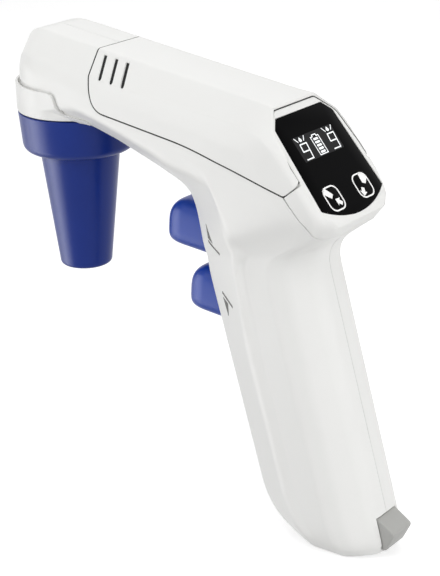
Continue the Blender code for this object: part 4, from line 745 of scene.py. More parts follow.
def ventCutters(grow=0.0001):
    vent = housing["vent"]
    lean = radians(vent["lean"])
    made = []
    for k in range(vent["count"]):
        x = vent["place"][0] + k * vent["pitch"]
        z = vent["place"][1] - slopeOf("topSlope") * k * vent["pitch"]
        box = roundedBox(0, 0, vent["width"] + 2 * grow, vent["length"] + 2 * grow, vent["width"] / 2 + grow)
        slot = [(x + p.x * cos(lean) - p.y * sin(lean), z + p.x * sin(lean) + p.y * cos(lean)) for p in box]
        made += [sidePrism("ventSlot", slot, vent["deep"], side * (vent["innerY"] + vent["deep"])) for side in (-1, 1)]
    return made


def headCollar(solid):
    # The ring over the nose, swept down behind, with a soft groove above its edge
    low, radius = body["headBottom"], housing["collarRadius"]
    high, inside, edge = low + housing["collarHigh"], body["headReach"] - body["wall"], housing["collarEdge"]
    profile = [(radius, high), (radius, low + edge), (radius - 0.3 * edge, low + 0.3 * edge), (radius - edge, low),
               (inside, low), (inside, high)]
    ring = revolve("headCollar", profile, 128, noseAxis)
    join(ring, bodyLoft("collarSkin", -housing["collarProud"]))
    sweep = roundedLoop([(x, low + z, r) for x, z, r in housing["collarSweep"]], 8)
    keep(ring, sidePrism("collarSweep", sweep))
    tidy(ring)
    soft = ring.modifiers.new("soft", "BEVEL")
    soft.width, soft.segments, soft.limit_method, soft.angle_limit = housing["collarSoft"], 3, "ANGLE", radians(50)
    baked(ring)
    rim, core, floor = housing["channel"]
    trough = [(rim, low + floor), (rim, high + 0.01), (core, high + 0.01), (core, low + floor)]
    gutter = revolve("collarChannel", trough, 128, noseAxis)
    cut(ring, cut(gutter, bodyLoft("channelCore", 0.0003)))
    width, depth = housing["groove"]
    foot = low - housing["grooveLow"]
    for share, end in housing["grooveSteps"]:
        path = [p for p in grown(sweep, width * share) if p.x < end and p.y > low + 0.6 * housing["grooveLow"]]
        trench = sidePrism("collarGroove", path + [Vector((end, foot)), Vector((sweep[0].x, foot))])
        cut(solid, cut(trench, bodyLoft("grooveFloor", depth * (1.5 - share))))
    return ring


def portOutline(grow):
    port = housing["port"]
    low, high, inside, skin = port["low"] - grow, port["high"] + grow, -port["depth"] - grow, port["lip"] + grow
    places = [(low, inside, 0), (low, skin, 0.0003), (port["ridge"], port["bulge"] + grow, 0.0013),
              (high, skin, 0.0003), (high, inside, 0)]
    corners = [(heelPlace(up, out) - Vector((noseAxisX, 0, 0)), r) for up, out, r in places]
    return roundedLoop([(p.x, p.z, r) for p, r in corners], 6)


def makeHousing():
    gap, step = body["gap"], housing["step"]
    solid = bodyLoft("bodySolid", 0.0)
    join(solid, headCollar(solid))
    tidy(solid)
    shell = cut(copyOf(solid, "bodyShell"), bodyLoft("bodyHollow", housing["skin"], 2, 0.005))
    print("body lofted:", len(solid.data.polygons), "faces")
    cover = keep(copyOf(shell, "coverShell"), sidePrism("coverRegion", grown(seamOutline(), -step)))
    cut(cover, panelPrism("bezelRoom", bezelOutline(-step), *housing["bezelRoom"]), *ventCutters())
    halves = shell   # what is left of the shell becomes the two halves
    cut(halves, sidePrism("coverRoom", grown(seamOutline(), housing["seam"])))
    cut(halves, sidePrism("bezelSlot", bezelSide(housing["bezelSlot"], housing["bezelDepth"] + housing["seam"], 0.006)))
    low = body["headBottom"]
    for name, radius, first, last, count in (
            ("nosePort", housing["spigotNeck"] + gap, *housing["nosePort"], 64),
            ("collarRoom", housing["noseCollar"] + housing["collarSlack"], housing["collarRoom"], step, 96)):
        cut(halves, rod(name, radius + step, (noseAxisX, 0, low + first), (noseAxisX, 0, low + last), count))
    room = housing["mouthGap"]
    mouth = roundedBox(0, 0, housing["triggerHeight"] + room, 2 * housing["triggerHalf"] + room, housing["mouthCorner"])
    for height in housing["triggerZ"]:
        cut(halves, prism("triggerMouth", mouth, *housing["mouthDepth"], triggerFrame(height)))
    port = housing["port"]
    cut(halves, sidePrism("portRecess", portOutline(gap + step), port["half"] + gap + step),
        rod("portHole", port["hole"] + step, *(heelPlace(port["up"], way * port["reach"]) for way in (-1, 1))))
    made = {"top_cover": cover}
    room = [(-0.1, 0), (0.3, 0), (0.3, 0.3), (-0.1, 0.3)]
    for name, side in (("left_housing", -1), ("right_housing", 1)):
        half = keep(copyOf(halves, name + "Skin"), sidePrism("halfRoom", room, 0.05, side * (0.05 + housing["split"])))
        if side > 0:
            for x, z in housing["screws"]:
                ends = ((x + noseAxisX, y, z) for y in housing["boreY"])
                cut(half, rod("headBore", housing["screwBore"], *ends, 24))
        made[name] = half
    discard(halves)
    for name, item in made.items():
        inner = keep(mergedNode(name), bodyLoft("bodyInside", housing["inside"], 3, 0.004))
        join(item, inner)
        item.name = name + "Fine"
        tidy(item)
        borrowNormals(item, solid)
        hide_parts(name)
        paint(item, "white_abs")
        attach(item, "controller")
    return made, solid


fine, bodySolid = makeHousing()
print("housing ready")


# Display: bezel, window, LCD with its segments, and keys with printed marks, in panel places (v down, w across)
display = {
    "edge": 0.0013, "skirt": 0.003, "plateEdge": 0.0004, "face": 0.0026, "windowThick": 0.0012, "slideGap": 0.0004,
    "windowTop": 0.0126, "chamfer": (0.0036, 0.0159), "windowLow": (0.0330, 0.0175), "windowBottom": 0.0380,
    "lcd": {"v": 0.0078, "length": 0.0090, "half": 0.0109, "depth": 0.0039, "corner": 0.0003},
    "board": {"depth": 0.0075, "post": 0.0016, "postV": (0.0043, 0.0208), "postW": 0.0132},
    "key": {"v": 0.0262, "length": 0.0090, "width": 0.0082, "offset": 0.0083, "round": 0.0028, "height": 0.0030},
    "ink": 0.00008,
    "stroke": 0.00042,
    "digit": {"left": 0.0017, "top": 0.0107, "mid": 0.0133, "low": 0.0161, "centre": 0.0076, "lean": 0.0003},
    # the battery sign's outline, as points on its right half, and its bars
    "battery": ((0.0091, 0.0010), (0.0097, 0.0010), (0.0097, 0.0021), (0.0162, 0.0021)),
    "batteryLine": 0.00032,
    "bars": {"first": 0.0103, "end": 0.0155, "pitch": 0.00118, "height": 0.00075, "half": 0.0012},
}
keyArrows = {
    # tip, direction of the arrow (v, w), the solid corner's points
    "aspirate": ((0.0311, -0.0081), (-1, -1),
                 ((0.0263, -0.0104), (0.0294, -0.0079), (0.0306, -0.0093), (0.0285, -0.0118), (0.0272, -0.0118))),
    "dispense": ((0.0342, 0.0060), (0.9, -0.44),
                 ((0.0263, 0.0088), (0.0268, 0.0108), (0.0290, 0.0119), (0.0306, 0.0099), (0.0299, 0.0086))),
}


def windowOutline(amount=0.0):
    low, bottom = display["windowLow"][1], display["windowBottom"] - display["windowLow"][0]
    radius = (low * low + bottom * bottom) / (2 * bottom)
    reach, middle = atan2(low, radius - bottom), display["windowBottom"] - radius
    arc = [(middle + radius * cos(reach * k / 14), radius * sin(reach * k / 14)) for k in range(14, -15, -1)]
    v, w = display["chamfer"]
    upper = [(v, -w, 0.0012), (0, -display["windowTop"], 0.0004), (0, display["windowTop"], 0.0004), (v, w, 0.0012)]
    outline = roundedLoop(upper + [(*arc[0], 0.0004)] + [(*p, 0) for p in arc[1:-1]] + [(*arc[-1], 0.0004)], 3)
    return grown(outline, amount) if amount else outline


def keyOutline(side, amount=0.0):
    key = display["key"]
    return roundedBox(key["v"] + key["length"] / 2, side * key["offset"], key["length"] + 2 * amount,
                      key["width"] + 2 * amount, key["round"] + amount)


def lcdOutline(amount=0.0):
    lcd = display["lcd"]
    return roundedBox(lcd["v"] + lcd["length"] / 2, 0, lcd["length"] + 2 * amount, 2 * (lcd["half"] + amount),
                      lcd["corner"], 3)


def sectionAt(item, out, firstV, count=120):
    # Outline of an item in a plane level with the panel, evenly spaced, from a given v down
    bm = bmesh.new()
    bm.from_mesh(item.data)
    found = bmesh.ops.bisect_plane(bm, geom=bm.verts[:] + bm.edges[:] + bm.faces[:], plane_no=panelOut,
                                   plane_co=panelOrigin + out * panelOut)["geom_cut"]
    local = [panelPlace.inverted() @ v.co for v in found if isinstance(v, bmesh.types.BMVert)]
    bm.free()
    middle = Vector((0.020, 0))
    rim = sorted({round(atan2(p.y, p.x - middle.x), 4): (Vector(p.xy) - middle).length for p in local}.items())
    angles, reach = [a for a, r in rim], [r for a, r in rim]
    loop = []
    for k in range(count):
        angle = 2 * pi * (k + 0.5) / count - pi
        r = (np.interp(angle, angles, reach, period=2 * pi) + np.interp(-angle, angles, reach, period=2 * pi)) / 2
        loop.append(middle + Vector((cos(angle), sin(angle))) * float(r))
    return [p for p in loop if p.x > firstV]


def makeBezel(solid):
    gap, edge, face = body["gap"], display["edge"], display["face"]
    rim = sectionAt(solid, -edge, 0.0)
    skirt = display["skirt"]
    levels = [(skirt, -0.020), (skirt, -edge - 0.0003)]
    levels += [(-edge * (1 - cos(a)), edge * (sin(a) - 1)) for a in (pi / 2 * k / 6 for k in range(7))]
    cushion = loft("bezelCushion", [[panelPlace @ Vector((*p, level)) for p in grown(rim, amount)]
                                    for amount, level in levels])
    seam, deep = housing["bezelSeam"], housing["bezelDepth"]
    bezel = keep(sidePrism("displayBezelFine", bezelSide(seam + gap, deep, 0.0)), copyOf(solid, "bezelBody"))
    keep(bezel, cushion)
    behind = sidePrism("behindFace", bezelSide(-0.010, 0.050, 0.0002 - face))
    cut(bezel, keep(bodyLoft("bezelHollow", body["wall"], 3, 0.003), behind))
    plate = pillow("bezelPlate", bezelOutline(gap), -face, 0.0, display["plateEdge"])
    board = display["board"]
    for v in board["postV"]:
        for w in (-board["postW"], board["postW"]):
            join(plate, rod("boardPost", board["post"], panelPlace @ Vector((v, w, gap - board["depth"])),
                            panelPlace @ Vector((v, w, 0.0005 - face)), 24))
    join(bezel, plate)
    cut(bezel, panelPrism("windowRecess", windowOutline(0.00012), -display["windowThick"] - gap, 0.003),
        panelPrism("lcdHole", lcdOutline(0.0008), -0.006, 0.003))
    for side in (-1, 1):
        cut(bezel, panelPrism("keyHole", keyOutline(side, display["slideGap"]), -0.006, 0.003))
    return bezel


def makeWindow():
    window = pillow("displayWindowFine", windowOutline(), -display["windowThick"], -0.0001, 0.00012, steps=2)
    for outline in (lcdOutline(0.00004), keyOutline(-1, 0.00012), keyOutline(1, 0.00012)):
        cut(window, panelPrism("windowCut", outline, -0.01, 0.01))
    return window


def makeKey(name, side):
    high = display["key"]["height"]
    key = pillow(name, keyOutline(side), -high, -0.0001, 0.0002, steps=3)
    return join(key, panelPrism("keyFlange", keyOutline(side, 0.0010), -high - 0.0012, -display["face"] - body["gap"]))


def stroke(ends, width=None):
    # A bar between two panel points
    a, b = (Vector(p) for p in ends)
    half = (width or display["stroke"]) / 2
    along = (b - a).normalized() * half * 0.6
    across = Vector((-along.y, along.x)).normalized() * half
    return [a - along - across, b + along - across, b + along + across, a - along + across]


def inkObject(name, outlines, base, thick):
    # Printed or lit shapes as thin plates on the panel, from closed outlines
    return prisms(name, outlines, base, base + thick, panelPlace)


def band(outline, width):
    # A closed line of some width as a run of quads
    inside = grown(outline, -width)
    return [[outline[k - 1], outline[k], inside[k], inside[k - 1]] for k in range(len(outline))]


def lcdShapes():
    digit, shapes = display["digit"], []
    for side in (-1, 1):
        centre = side * digit["centre"]
        left, right = centre - digit["left"], centre + digit["left"]
        top, mid, low = digit["top"], digit["mid"], digit["low"]
        lean = digit["lean"]
        corner = {"a": (top, left + 2 * lean), "b": (top, right + 2 * lean), "c": (mid, right + lean),
                  "d": (mid, left + lean), "e": (low, right), "f": (low, left)}
        shapes += [stroke((corner[p], corner[q])) for p, q in ("ab", "bc", "cd", "da", "ce", "ef")]
        tip = centre + lean
        # A funnel of two lines with a drop between them
        shapes += [stroke(((0.0082, tip + way * 0.0026), (0.0097, tip + way * 0.0015)), 0.0003) for way in (-1, 1)]
        drop = [(0.0093 + 0.0006 * cos(a), tip + 0.0007 * sin(a)) for a in np.linspace(-2.2, 2.2, 12)]
        shapes.append([(0.0082, tip)] + drop)
    shell = [*display["battery"], *((v, -w) for v, w in reversed(display["battery"]))]
    shapes += [stroke((shell[k - 1], shell[k]), display["batteryLine"]) for k in range(len(shell))]
    bars = display["bars"]
    high, half = bars["height"], bars["half"]
    return shapes + [[(v, -half), (v, half), (v + high, half), (v + high, -half)]
                     for v in np.arange(bars["first"], bars["end"], bars["pitch"])]


def keyShapes(side, name):
    tip, direction, corner = keyArrows[name]
    tip, along = Vector(tip), Vector(direction).normalized()
    across = Vector((-along.y, along.x))
    half = ((0, 0), (0.0017, 0.0016), (0.0017, 0.0007), (0.0031, 0.0007))   # way back from the tip, way out
    points = half + tuple((back, -out) for back, out in half[:0:-1])
    arrow = [tip - along * back + across * out for back, out in points]
    return band(keyOutline(side, -0.0001), 0.0005) + [arrow, list(corner)]


def dress(item, finish, bodyName, *replaced):
    paint(item, finish)
    tidy(item)
    if replaced:
        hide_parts(*replaced)
    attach(item, bodyName)
    return item


def makeDisplay(solid):
    bezel = dress(makeBezel(solid), "white_abs", "controller", "display_bezel")
    borrowNormals(bezel, solid)
    dress(makeWindow(), "black_gloss", "controller", "display_window")
    lcd, board = display["lcd"], display["board"]
    glass = pillow("lcdModuleFine", lcdOutline(), -lcd["depth"], -0.0002, 0.00006, steps=1)
    base = roundedBox(lcd["v"] + lcd["length"] / 2, 0, lcd["length"] + 0.003, 2 * lcd["half"] + 0.002, 0.0005, 3)
    join(glass, panelPrism("lcdBase", base, -board["depth"] + 0.0006, -display["face"] - body["gap"]))
    dress(glass, "lcd_glass", "controller", "lcd_module")
    dress(inkObject("lcdSegments", lcdShapes(), -0.0002, 0.00006), "lit_white", "controller")
    for name, side in (("aspirate", -1), ("dispense", 1)):
        dress(makeKey(name + "KeyFine", side), "black_key", name + "_button", name + "_key")
        # White printed marks, whose finish also glows a little as painted light
        marks = inkObject(name + "KeyMarks", keyShapes(side, name), -0.0001, display["ink"])
        dress(marks, "white_ink_painted_glow", name + "_button")


makeDisplay(bodySolid)
print("display ready")


# Nose: threaded cone and the spigot that it screws on
nose = {
    "mouth": 0.0097, "opening": 0.0064, "height": 0.0435, "topRadius": 0.0144, "collar": 0.0214, "collarHeight": 0.0151,
    "wall": 0.0020, "bore": 0.0190, "thread": 0.00024, "spigot": 0.0186, "spigotWall": 0.0022, "spigotLength": 0.0105,
    "spigotFloor": 0.0022, "neck": 0.0120, "flange": 0.0150, "flangeHeight": 0.0020, "portRadius": 0.0028,
    "portBore": 0.0013, "portDrop": 0.0041, "barb": 0.0014,
}


def threaded(low, high, radius, depth, steps=60):
    return [(radius, low + (high - low) * k / steps, depth) for k in range(steps + 1)]


def coneRadius(height, inset=0.0):
    share = (height - 0.003) / (nose["height"] - 0.003)
    return nose["mouth"] + (nose["topRadius"] - nose["mouth"]) * share - inset


def makeCone():
    top, high, collar = nose["height"], nose["height"] + nose["collarHeight"], nose["collar"]
    inner, floor = coneRadius(nose["height"], nose["wall"]), nose["height"] + 0.0026
    outer = roundedLoop([(nose["opening"], 0, 0), (nose["mouth"] - 0.0003, 0, 0.0016), (nose["mouth"], 0.0030, 0.004),
                         (nose["topRadius"], top, 0.0009), (collar - 0.0012, top + 0.0008, 0.0032),
                         (collar - 0.0003, high - 0.003, 0.006), (collar, high, 0.0003),
                         (nose["bore"], high, 0)], 8)
    inside = threaded(high - 0.0008, floor + 0.0020, nose["bore"], -nose["thread"])
    inside += [(nose["bore"], floor + 0.0010), (nose["bore"] - 0.0030, floor), (inner, floor - 0.0010),
               (coneRadius(0.006, nose["wall"]), 0.0060), (nose["opening"], 0.0030)]
    return revolve("noseConeFine", [(p.x, p.y) for p in outer] + inside, 160,
                   Matrix.Translation((noseAxisX, 0, noseMouthZ)))


def makeSpigot():
    gap = body["gap"]
    under = body["headBottom"] - 2 * gap
    floor = under - nose["spigotFloor"]
    port = floor - nose["portDrop"]
    neckTop = body["headBottom"] + body["wall"] + gap
    flangeTop, portTop = neckTop + nose["flangeHeight"], neckTop + nose["flangeHeight"] + 0.0035
    skirt, thin, low = nose["spigot"], nose["spigot"] - nose["spigotWall"], under - nose["spigotLength"]
    profile = [(nose["portBore"], port), (nose["portRadius"] - 0.0004, port), (nose["portRadius"], port + 0.0030),
               (nose["portRadius"], floor), (thin, floor), (thin, low)]
    profile += [(skirt - 0.0004, low), (skirt, low + 0.0004)]
    profile += threaded(low + 0.0006, under - 0.0006, skirt, nose["thread"])
    profile += [(skirt, under - 0.0003), (skirt - 0.0003, under), (nose["neck"], under), (nose["neck"], neckTop),
                (nose["flange"], neckTop), (nose["flange"], flangeTop), (nose["barb"] + 0.0020, flangeTop),
                (nose["barb"] + 0.0008, portTop), (nose["portBore"], portTop)]
    return revolve("noseSpigotFine", profile, 96, noseAxis)


dress(makeCone(), "blue_nose", "nose", "nose_cone")
dress(makeSpigot(), "white_abs", "controller", "nose_spigot")
print("nose ready")


# Triggers, their printed marks, and the charging port's cover
trigger = {
    "inside": 0.0055, "nosing": 0.0085, "tipHalf": 0.0018, "tipRise": 0.0010, "tipDrop": 0.0022, "edge": 0.0004,
    "rows": 22,
    "square": 0.55,   # exponent of the section: 1 would be round, and 0 a box
    "reach": {"aspirate": 0.0176, "dispense": 0.0135},
    "marks": {
        # closed outlines in the side view, from the nose axis and the sole
        "upper": (((0.0684, 0.1096), (0.0714, 0.1034), (0.0689, 0.1046)),
                  ((0.0688, 0.1038), (0.0745, 0.1007), (0.0745, 0.0999), (0.0688, 0.1030))),
        "lower": (((0.0738, 0.0864), (0.0799, 0.0832), (0.0799, 0.0824), (0.0738, 0.0856)),
                  ((0.0740, 0.0843), (0.0769, 0.0829), (0.0764, 0.0781))),
    },
    "markLift": 0.00012,
}


def power(value):
    return abs(value) ** trigger["square"] * (1 if value >= 0 else -1)


def triggerRings(height, reach, around=72):
    place, half, full = triggerFrame(height), housing["triggerHeight"] / 2, housing["triggerHalf"]
    tip, rise, drop, edge = (trigger[key] for key in ("tipHalf", "tipRise", "tipDrop", "edge"))
    rows = []
    for share in np.linspace(0.02, 1, trigger["rows"]):
        s, c = sin(pi / 2 * share), cos(pi / 2 * share)
        rows.append((-reach + trigger["nosing"] * (1 - c), tip + (full - tip) * s ** 0.8, -rise + (half + rise) * s,
                     -half + drop * (1 - s) ** 1.5))
    inside = trigger["inside"]
    rows += [(inside - edge, full, half, -half), (inside, full - edge, half - edge, -half + edge)]
    rings = []
    for along, wide, high, low in rows:
        middle, tall = (high + low) / 2, (high - low) / 2
        turns = [2 * pi * k / around for k in range(around)]
        rings.append([place @ Vector((middle + tall * power(cos(a)), wide * power(sin(a)), along)) for a in turns])
    return rings


def surfaceMark(name, outlines, target, side):
    # Thin ink shapes laid on a side of the housing, each point where a ray across meets it
    bm = bmesh.new()
    for outline in outlines:
        bm.faces.new([bm.verts.new((x + noseAxisX, 0, z)) for x, z in outline])
    bmesh.ops.triangulate(bm, faces=bm.faces[:])
    bmesh.ops.subdivide_edges(bm, edges=bm.edges[:], cuts=5, use_grid_fill=True)
    for vert in bm.verts:
        hit, where = target.ray_cast((vert.co.x, side * 0.05, vert.co.z), (0, -side, 0))[:2]
        if hit:
            vert.co.y = where.y + side * trigger["markLift"]
    made = bmesh.ops.extrude_face_region(bm, geom=bm.faces[:])["geom"]
    bmesh.ops.translate(bm, vec=(0, -side * 0.0002, 0), verts=[v for v in made if isinstance(v, bmesh.types.BMVert)])
    return meshObject(name, bm)


def makeTriggers():
    for (name, reach), height in zip(trigger["reach"].items(), housing["triggerZ"]):
        dress(loft(name + "TriggerFine", triggerRings(height, reach)), "blue_trigger", name + "_slide",
              name + "_trigger")


def makeMarks(halves):
    for half, side, tag in ((halves["left_housing"], -1, "Left"), (halves["right_housing"], 1, "Right")):
        for name, outlines in trigger["marks"].items():
            dress(surfaceMark(name + "TriggerMark" + tag, outlines, half, side), "grey_ink", "controller")


def makePortCover():
    port = housing["port"]
    cover = pillow("chargingPortCoverFine", portOutline(0.0), -port["half"], port["half"], 0.0004, sideFrame(),
                   both=True)
    dress(cover, "grey_silicone", "port_cover", "charging_port_cover")


makeTriggers()
makeMarks(fine)
makePortCover()
print("triggers and port cover ready")


# Painted shade: dark strips in the seams, and dark strips in the vent slots
def makeSeamShade():
    # Near-black strips just under the cover's seam: painted shade for the gap's depth
    lining = cut(bodyLoft("gasketLining", 0.00014, 4, 0.003),
                 bodyLoft("gasketHollow", housing["skin"] + 0.0006, 2, 0.005))
    seam = grown(seamOutline(), housing["seam"] - 0.00002)
    ring = keep(copyOf(lining, "coverGasket"), sidePrism("gasketOuter", seam))
    cut(ring, sidePrism("gasketInner", grown(seamOutline(), 0.00002)),
        sidePrism("gasketEnd", bezelSide(housing["bezelSeam"] - 0.0050, 0.0061, 0.006)))
    dress(ring, "painted_seam_shade", "controller")
    discard(lining)
    gap = body["gap"]
    # The same painted shade in the seam round the bezel
    bezelShadeStrip = panelPrism("bezelGasket", bezelOutline(0.00002), -0.0022, -0.00012)
    cut(bezelShadeStrip, panelPrism("bezelCore", bezelOutline(gap - 0.00002), -0.003, 0.001),
        sidePrism("bezelEnd", bezelSide(housing["bezelSeam"] - 0.0008, 0.02, 0.006)))
    dress(bezelShadeStrip, "painted_seam_shade", "controller")


def makeVentShade():
    # Dark strips that sit in the slots: painted shade for the slots' depth
    strips = ventCutters(-0.00004)
    join(strips[0], *strips[1:])
    lining = cut(bodyLoft("filterLining", 0.0004, 4, 0.003), bodyLoft("filterHollow", 0.0018, 3, 0.004))
    dress(keep(strips[0], lining), "painted_seam_shade", "controller").name = "ventFilters"


makeSeamShade()
makeVentShade()
print("seam and vent shade ready")


# Small parts that repeat: screws, chip legs, solder posts and board components, set out by node trees
details = {
    "housingScrew": {"shank": 0.00118, "thread": 0.00025, "pitch": 0.0008, "head": 0.0024, "rise": 0.0018,
                     "length": 0.0143, "seat": 0.0063, "cross": 0.0028, "crossWidth": 0.0006, "crossDepth": 0.0009},
    "boardScrew": {"shank": 0.0008, "thread": 0.0002, "pitch": 0.0005, "head": 0.0017, "rise": 0.0010, "length": 0.0015,
                   "seat": 0.0090, "cross": 0.0020, "crossWidth": 0.0004, "crossDepth": 0.0005},
    "boardScrewPlaces": ((0.0043, 0.0132), (0.0043, -0.0132), (0.0208, 0.0132), (0.0208, -0.0132)),
    "chipMiddle": (0.0150, 0.0030),
    "leg": ((0.00403, -0.0097), (0.0045, -0.0097), (0.00462, -0.0090), (0.0051, -0.0090), (0.0051, -0.00878),
            (0.00445, -0.00878), (0.00435, -0.0095), (0.00403, -0.0095)),
    "legWidth": 0.00026,
    "legRow": {"Count X": 11, "Pitch X": 0.00065, "Count Y": 1, "Pitch Y": 0.0},
    "postMiddle": (0.0310, -0.0020, -0.00745),
    "post": ((0.0006, 0.00008), (0.00034, 0.00025), (0.00024, 0.00055)),
    "postRows": {"Count X": 2, "Pitch X": 0.0020, "Count Y": 4, "Pitch Y": 0.0020},
    "partMiddle": (0.0252, 0.0, -0.00878),
    "partSize": (0.0010, 0.0005, 0.00045),
    "partEdge": 0.00003,
    "partRows": {"Count X": 3, "Pitch X": 0.0016, "Count Y": 6, "Pitch Y": 0.0022},
}


def repeatTree(name, inRows):
    # Copies of one part on the given points, or on a grid of counts and pitches
    tree = bpy.data.node_groups.new(name, "GeometryNodeTree")
    kinds = {"Geometry": "Geometry", "Part": "Object", "Finish": "Material"}
    if inRows:
        kinds.update({"Count X": "Int", "Count Y": "Int", "Pitch X": "Float", "Pitch Y": "Float"})
    for label, kind in kinds.items():
        tree.interface.new_socket(label, in_out="INPUT", socket_type="NodeSocket" + kind)
    tree.interface.new_socket("Geometry", in_out="OUTPUT", socket_type="NodeSocketGeometry")
    given = addNode(tree, "NodeGroupInput", {}).outputs
    points = given["Geometry"]
    if inRows:
        sizes = {}
        for axis in "XY":
            count = given["Count " + axis]
            steps = addNode(tree, "ShaderNodeMath", {0: count, 1: 1}, operation="SUBTRACT")
            span = addNode(tree, "ShaderNodeMath", {0: steps.outputs["Value"], 1: given["Pitch " + axis]},
                           operation="MULTIPLY")
            sizes.update({"Size " + axis: span.outputs["Value"], "Vertices " + axis: count})
        points = addNode(tree, "GeometryNodeMeshGrid", sizes).outputs["Mesh"]
    part = addNode(tree, "GeometryNodeObjectInfo", {"Object": given["Part"]})
    copies = addNode(tree, "GeometryNodeInstanceOnPoints", {"Points": points, "Instance": part.outputs["Geometry"]})
    real = addNode(tree, "GeometryNodeRealizeInstances", {"Geometry": copies.outputs["Instances"]})
    finish = addNode(tree, "GeometryNodeSetMaterial",
                     {"Geometry": real.outputs["Geometry"], "Material": given["Finish"]})
    addNode(tree, "NodeGroupOutput", {"Geometry": finish.outputs["Geometry"]})
    return tree


def repeated(name, tree, part, finish, place, sizes, *replaced):
    # The part is drawn about the origin, and each place is a grid's middle or one point
    mesh = bpy.data.meshes.new(name)
    mesh.from_pydata(sizes.get("Points", []), [], [])
    item = placed(name, mesh)
    change = item.modifiers.new("repeat", "NODES")
    change.node_group = tree
    values = {"Part": part, "Finish": materials[finish], **sizes}
    for socket in tree.interface.items_tree:
        if socket.in_out == "INPUT" and socket.name in values:
            change[socket.identifier] = values[socket.name]
    baked(item)
    item.data.transform(place)
    discard(part)
    return dress(item, finish, "controller", *replaced)


def screwForm(name, screw):
    shank, thread, pitch, length = (screw[key] for key in ("shank", "thread", "pitch", "length"))
    core, head, rise = shank - thread, screw["head"], screw["rise"]
    profile = [(0, -length), (0.5 * core, -length)]
    rows = round(5 * (length - 0.0006) / pitch)
    profile += [(core, -length + 0.0003 + (length - 0.0005) * k / rows, thread) for k in range(rows + 1)]
    profile += [(core, 0), (head, 0), (head, 0.45 * rise), (0.9 * head, 0.8 * rise), (0.6 * head, rise), (0, rise)]
    item = tidy(revolve(name, profile, 20, Matrix(), pitch))
    bar = roundedBox(0, 0, screw["cross"], screw["crossWidth"], 0.0001, 2)
    for turn in (1, 91):
        cut(item, prism("driveSlot", bar, rise - screw["crossDepth"], rise + 0.0010, turned(turn, "Z")))
    return item


def makeScrews(tree):
    across = frameAlong((0, 0, 0), (0, 1, 0), (0, 0, 1))
    for kind, place, spots in (
            ("housing", across, [(z, x + noseAxisX) for x, z in housing["screws"]]),
            ("board", panelPlace @ turned(180, "X"), details["boardScrewPlaces"])):
        screw = details[kind + "Screw"]
        repeated(kind + "ScrewsFine", tree, screwForm(kind + "ScrewForm", screw), "steel", place,
                 {"Points": [(*spot, screw["seat"]) for spot in spots]},
                 *(f"{kind}_screw_{k + 1}" for k in range(len(spots))))


def makeBoardParts(tree):
    middle = Matrix.Translation((*details["chipMiddle"], 0))
    half = details["legWidth"] / 2
    for name, turn in (("chipLegsAcross", 0), ("chipLegsAlong", 90)):
        # The leg's outline stands up, on both sides of the chip
        legs = [prism("legForm", details["leg"], -half, half, turned(spin, "Z") @ turned(90, "X"))
                for spin in (90, 270)]
        repeated(name, tree, join(*legs), "steel", panelPlace @ middle @ turned(turn, "Z"), details["legRow"])
    post = [(0, 0), (details["post"][0][0], 0), *details["post"], (0, details["post"][-1][1])]
    repeated("solderPosts", tree, tidy(revolve("postForm", post, 12)), "steel",
             panelPlace @ Matrix.Translation(details["postMiddle"]), details["postRows"])
    place = panelPlace @ Matrix.Translation(details["partMiddle"]) @ turned(180, "X")
    length, width, height = details["partSize"]
    edge = details["partEdge"]
    block = roundedBox(0, 0, 0.56 * length, 0.92 * width, edge, 1)
    core = prism("partForm", block, edge, 0.94 * height, Matrix())
    repeated("boardParts", tree, core, "chip_black", place, details["partRows"])
    ends = [prism("partEnd", roundedBox(side * 0.4 * length, 0, 0.2 * length, width, edge, 1), 0, height, Matrix())
            for side in (-1, 1)]
    repeated("boardPartEnds", tree, join(*ends), "steel", place, details["partRows"])


makeScrews(repeatTree("onPoints", False))
makeBoardParts(repeatTree("inRows", True))
print("screws and board parts ready")


discard(bodySolid)


# Studio: pale floor, white surround, soft lamps
studio = {
    "floorSize": 6.0,
    "floorColor": (0.62, 0.62, 0.62),
    "floorGlow": 0.60,
    "surround": 0.30,
    "lamps": [
        # name, angle round, angle up, distance, width, height, power, whether it lights or only shines
        ("keyLamp", -22, 26, 0.85, 0.30, 0.50, 2.4, True),
        ("glossCard", -50, -17, 0.85, 0.50, 0.75, 4.0, False),
        ("lowLamp", -65, -12, 0.9, 0.6, 0.6, 2.3, True),
        ("topLamp", 60, 78, 0.9, 0.9, 0.9, 3.3, True),
        ("frontLamp", 72, 12, 1.0, 0.8, 0.8, 4.1, True),
        ("sideLamp", 108, 8, 1.1, 0.8, 0.6, 2.6, True),
        ("backLamp", 215, 45, 1.1, 0.8, 0.8, 2.3, True),
    ],
}


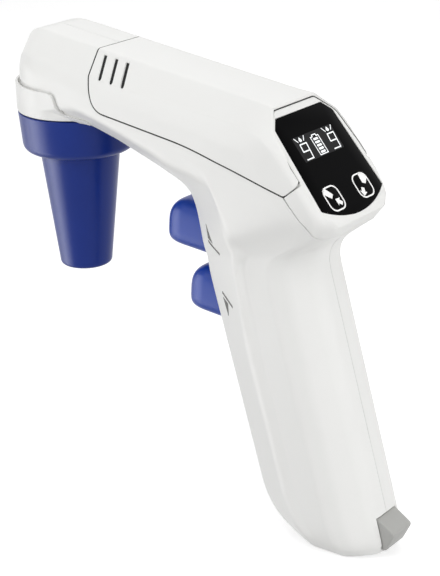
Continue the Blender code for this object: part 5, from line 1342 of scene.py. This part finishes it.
def makeFloor():
    bm = bmesh.new()
    bmesh.ops.create_grid(bm, x_segments=2, y_segments=2, size=studio["floorSize"] / 2)
    mesh = bpy.data.meshes.new("studioFloor")
    bm.to_mesh(mesh)
    bm.free()
    floor = placed("studioFloor", mesh)
    made, tree, shader = newMaterial("floorPaper")
    feed(tree, shader, {"Base Color": (*studio["floorColor"], 1), "Roughness": 0.9, "Specular IOR Level": 0.1})
    seen = addNode(tree, "ShaderNodeLightPath", {}).outputs["Is Camera Ray"]
    scale = addNode(tree, "ShaderNodeMath", {0: seen, 1: studio["floorGlow"]}, operation="MULTIPLY")
    glow = addNode(tree, "ShaderNodeEmission", {"Strength": scale.outputs["Value"]})
    both = addNode(tree, "ShaderNodeAddShader", {0: shader.outputs["BSDF"], 1: glow.outputs["Emission"]})
    feed(tree, tree.nodes["Material Output"], {"Surface": both.outputs["Shader"]})
    mesh.materials.append(made)
    floor.visible_glossy = False   # reflections show the white surround, and the low lamps reach past the floor
    floor.visible_shadow = False


def makeSurround():
    scene.world = bpy.data.worlds.new("whiteSurround")
    scene.world.use_nodes = True
    tree = scene.world.node_tree
    path = addNode(tree, "ShaderNodeLightPath", {}).outputs
    seen = addNode(tree, "ShaderNodeMath", {0: path["Is Camera Ray"], 1: path["Is Glossy Ray"]}, operation="MAXIMUM")
    strength = addNode(tree, "ShaderNodeMapRange",
                       {"To Min": studio["surround"], "To Max": 1.0, "Value": seen.outputs["Value"]})
    feed(tree, tree.nodes["Background"], {"Strength": strength.outputs["Result"], "Color": (1, 1, 1, 1)})


def makeLamps():
    middle = (Vector(cadBox[0]) + Vector(cadBox[1])) / 2
    for name, side, rise, distance, width, height, energy, lights in studio["lamps"]:
        data = bpy.data.lights.new(name, "AREA")
        data.shape, data.size, data.size_y, data.energy = "RECTANGLE", width, height, energy
        lamp = placed(name, data)
        lamp.visible_diffuse = lights
        toward = outward(side, rise)
        lamp.location = middle + toward * distance
        lamp.rotation_euler = toward.to_track_quat("Z", "Y").to_euler()


makeFloor()
makeSurround()
makeLamps()
print("studio ready")
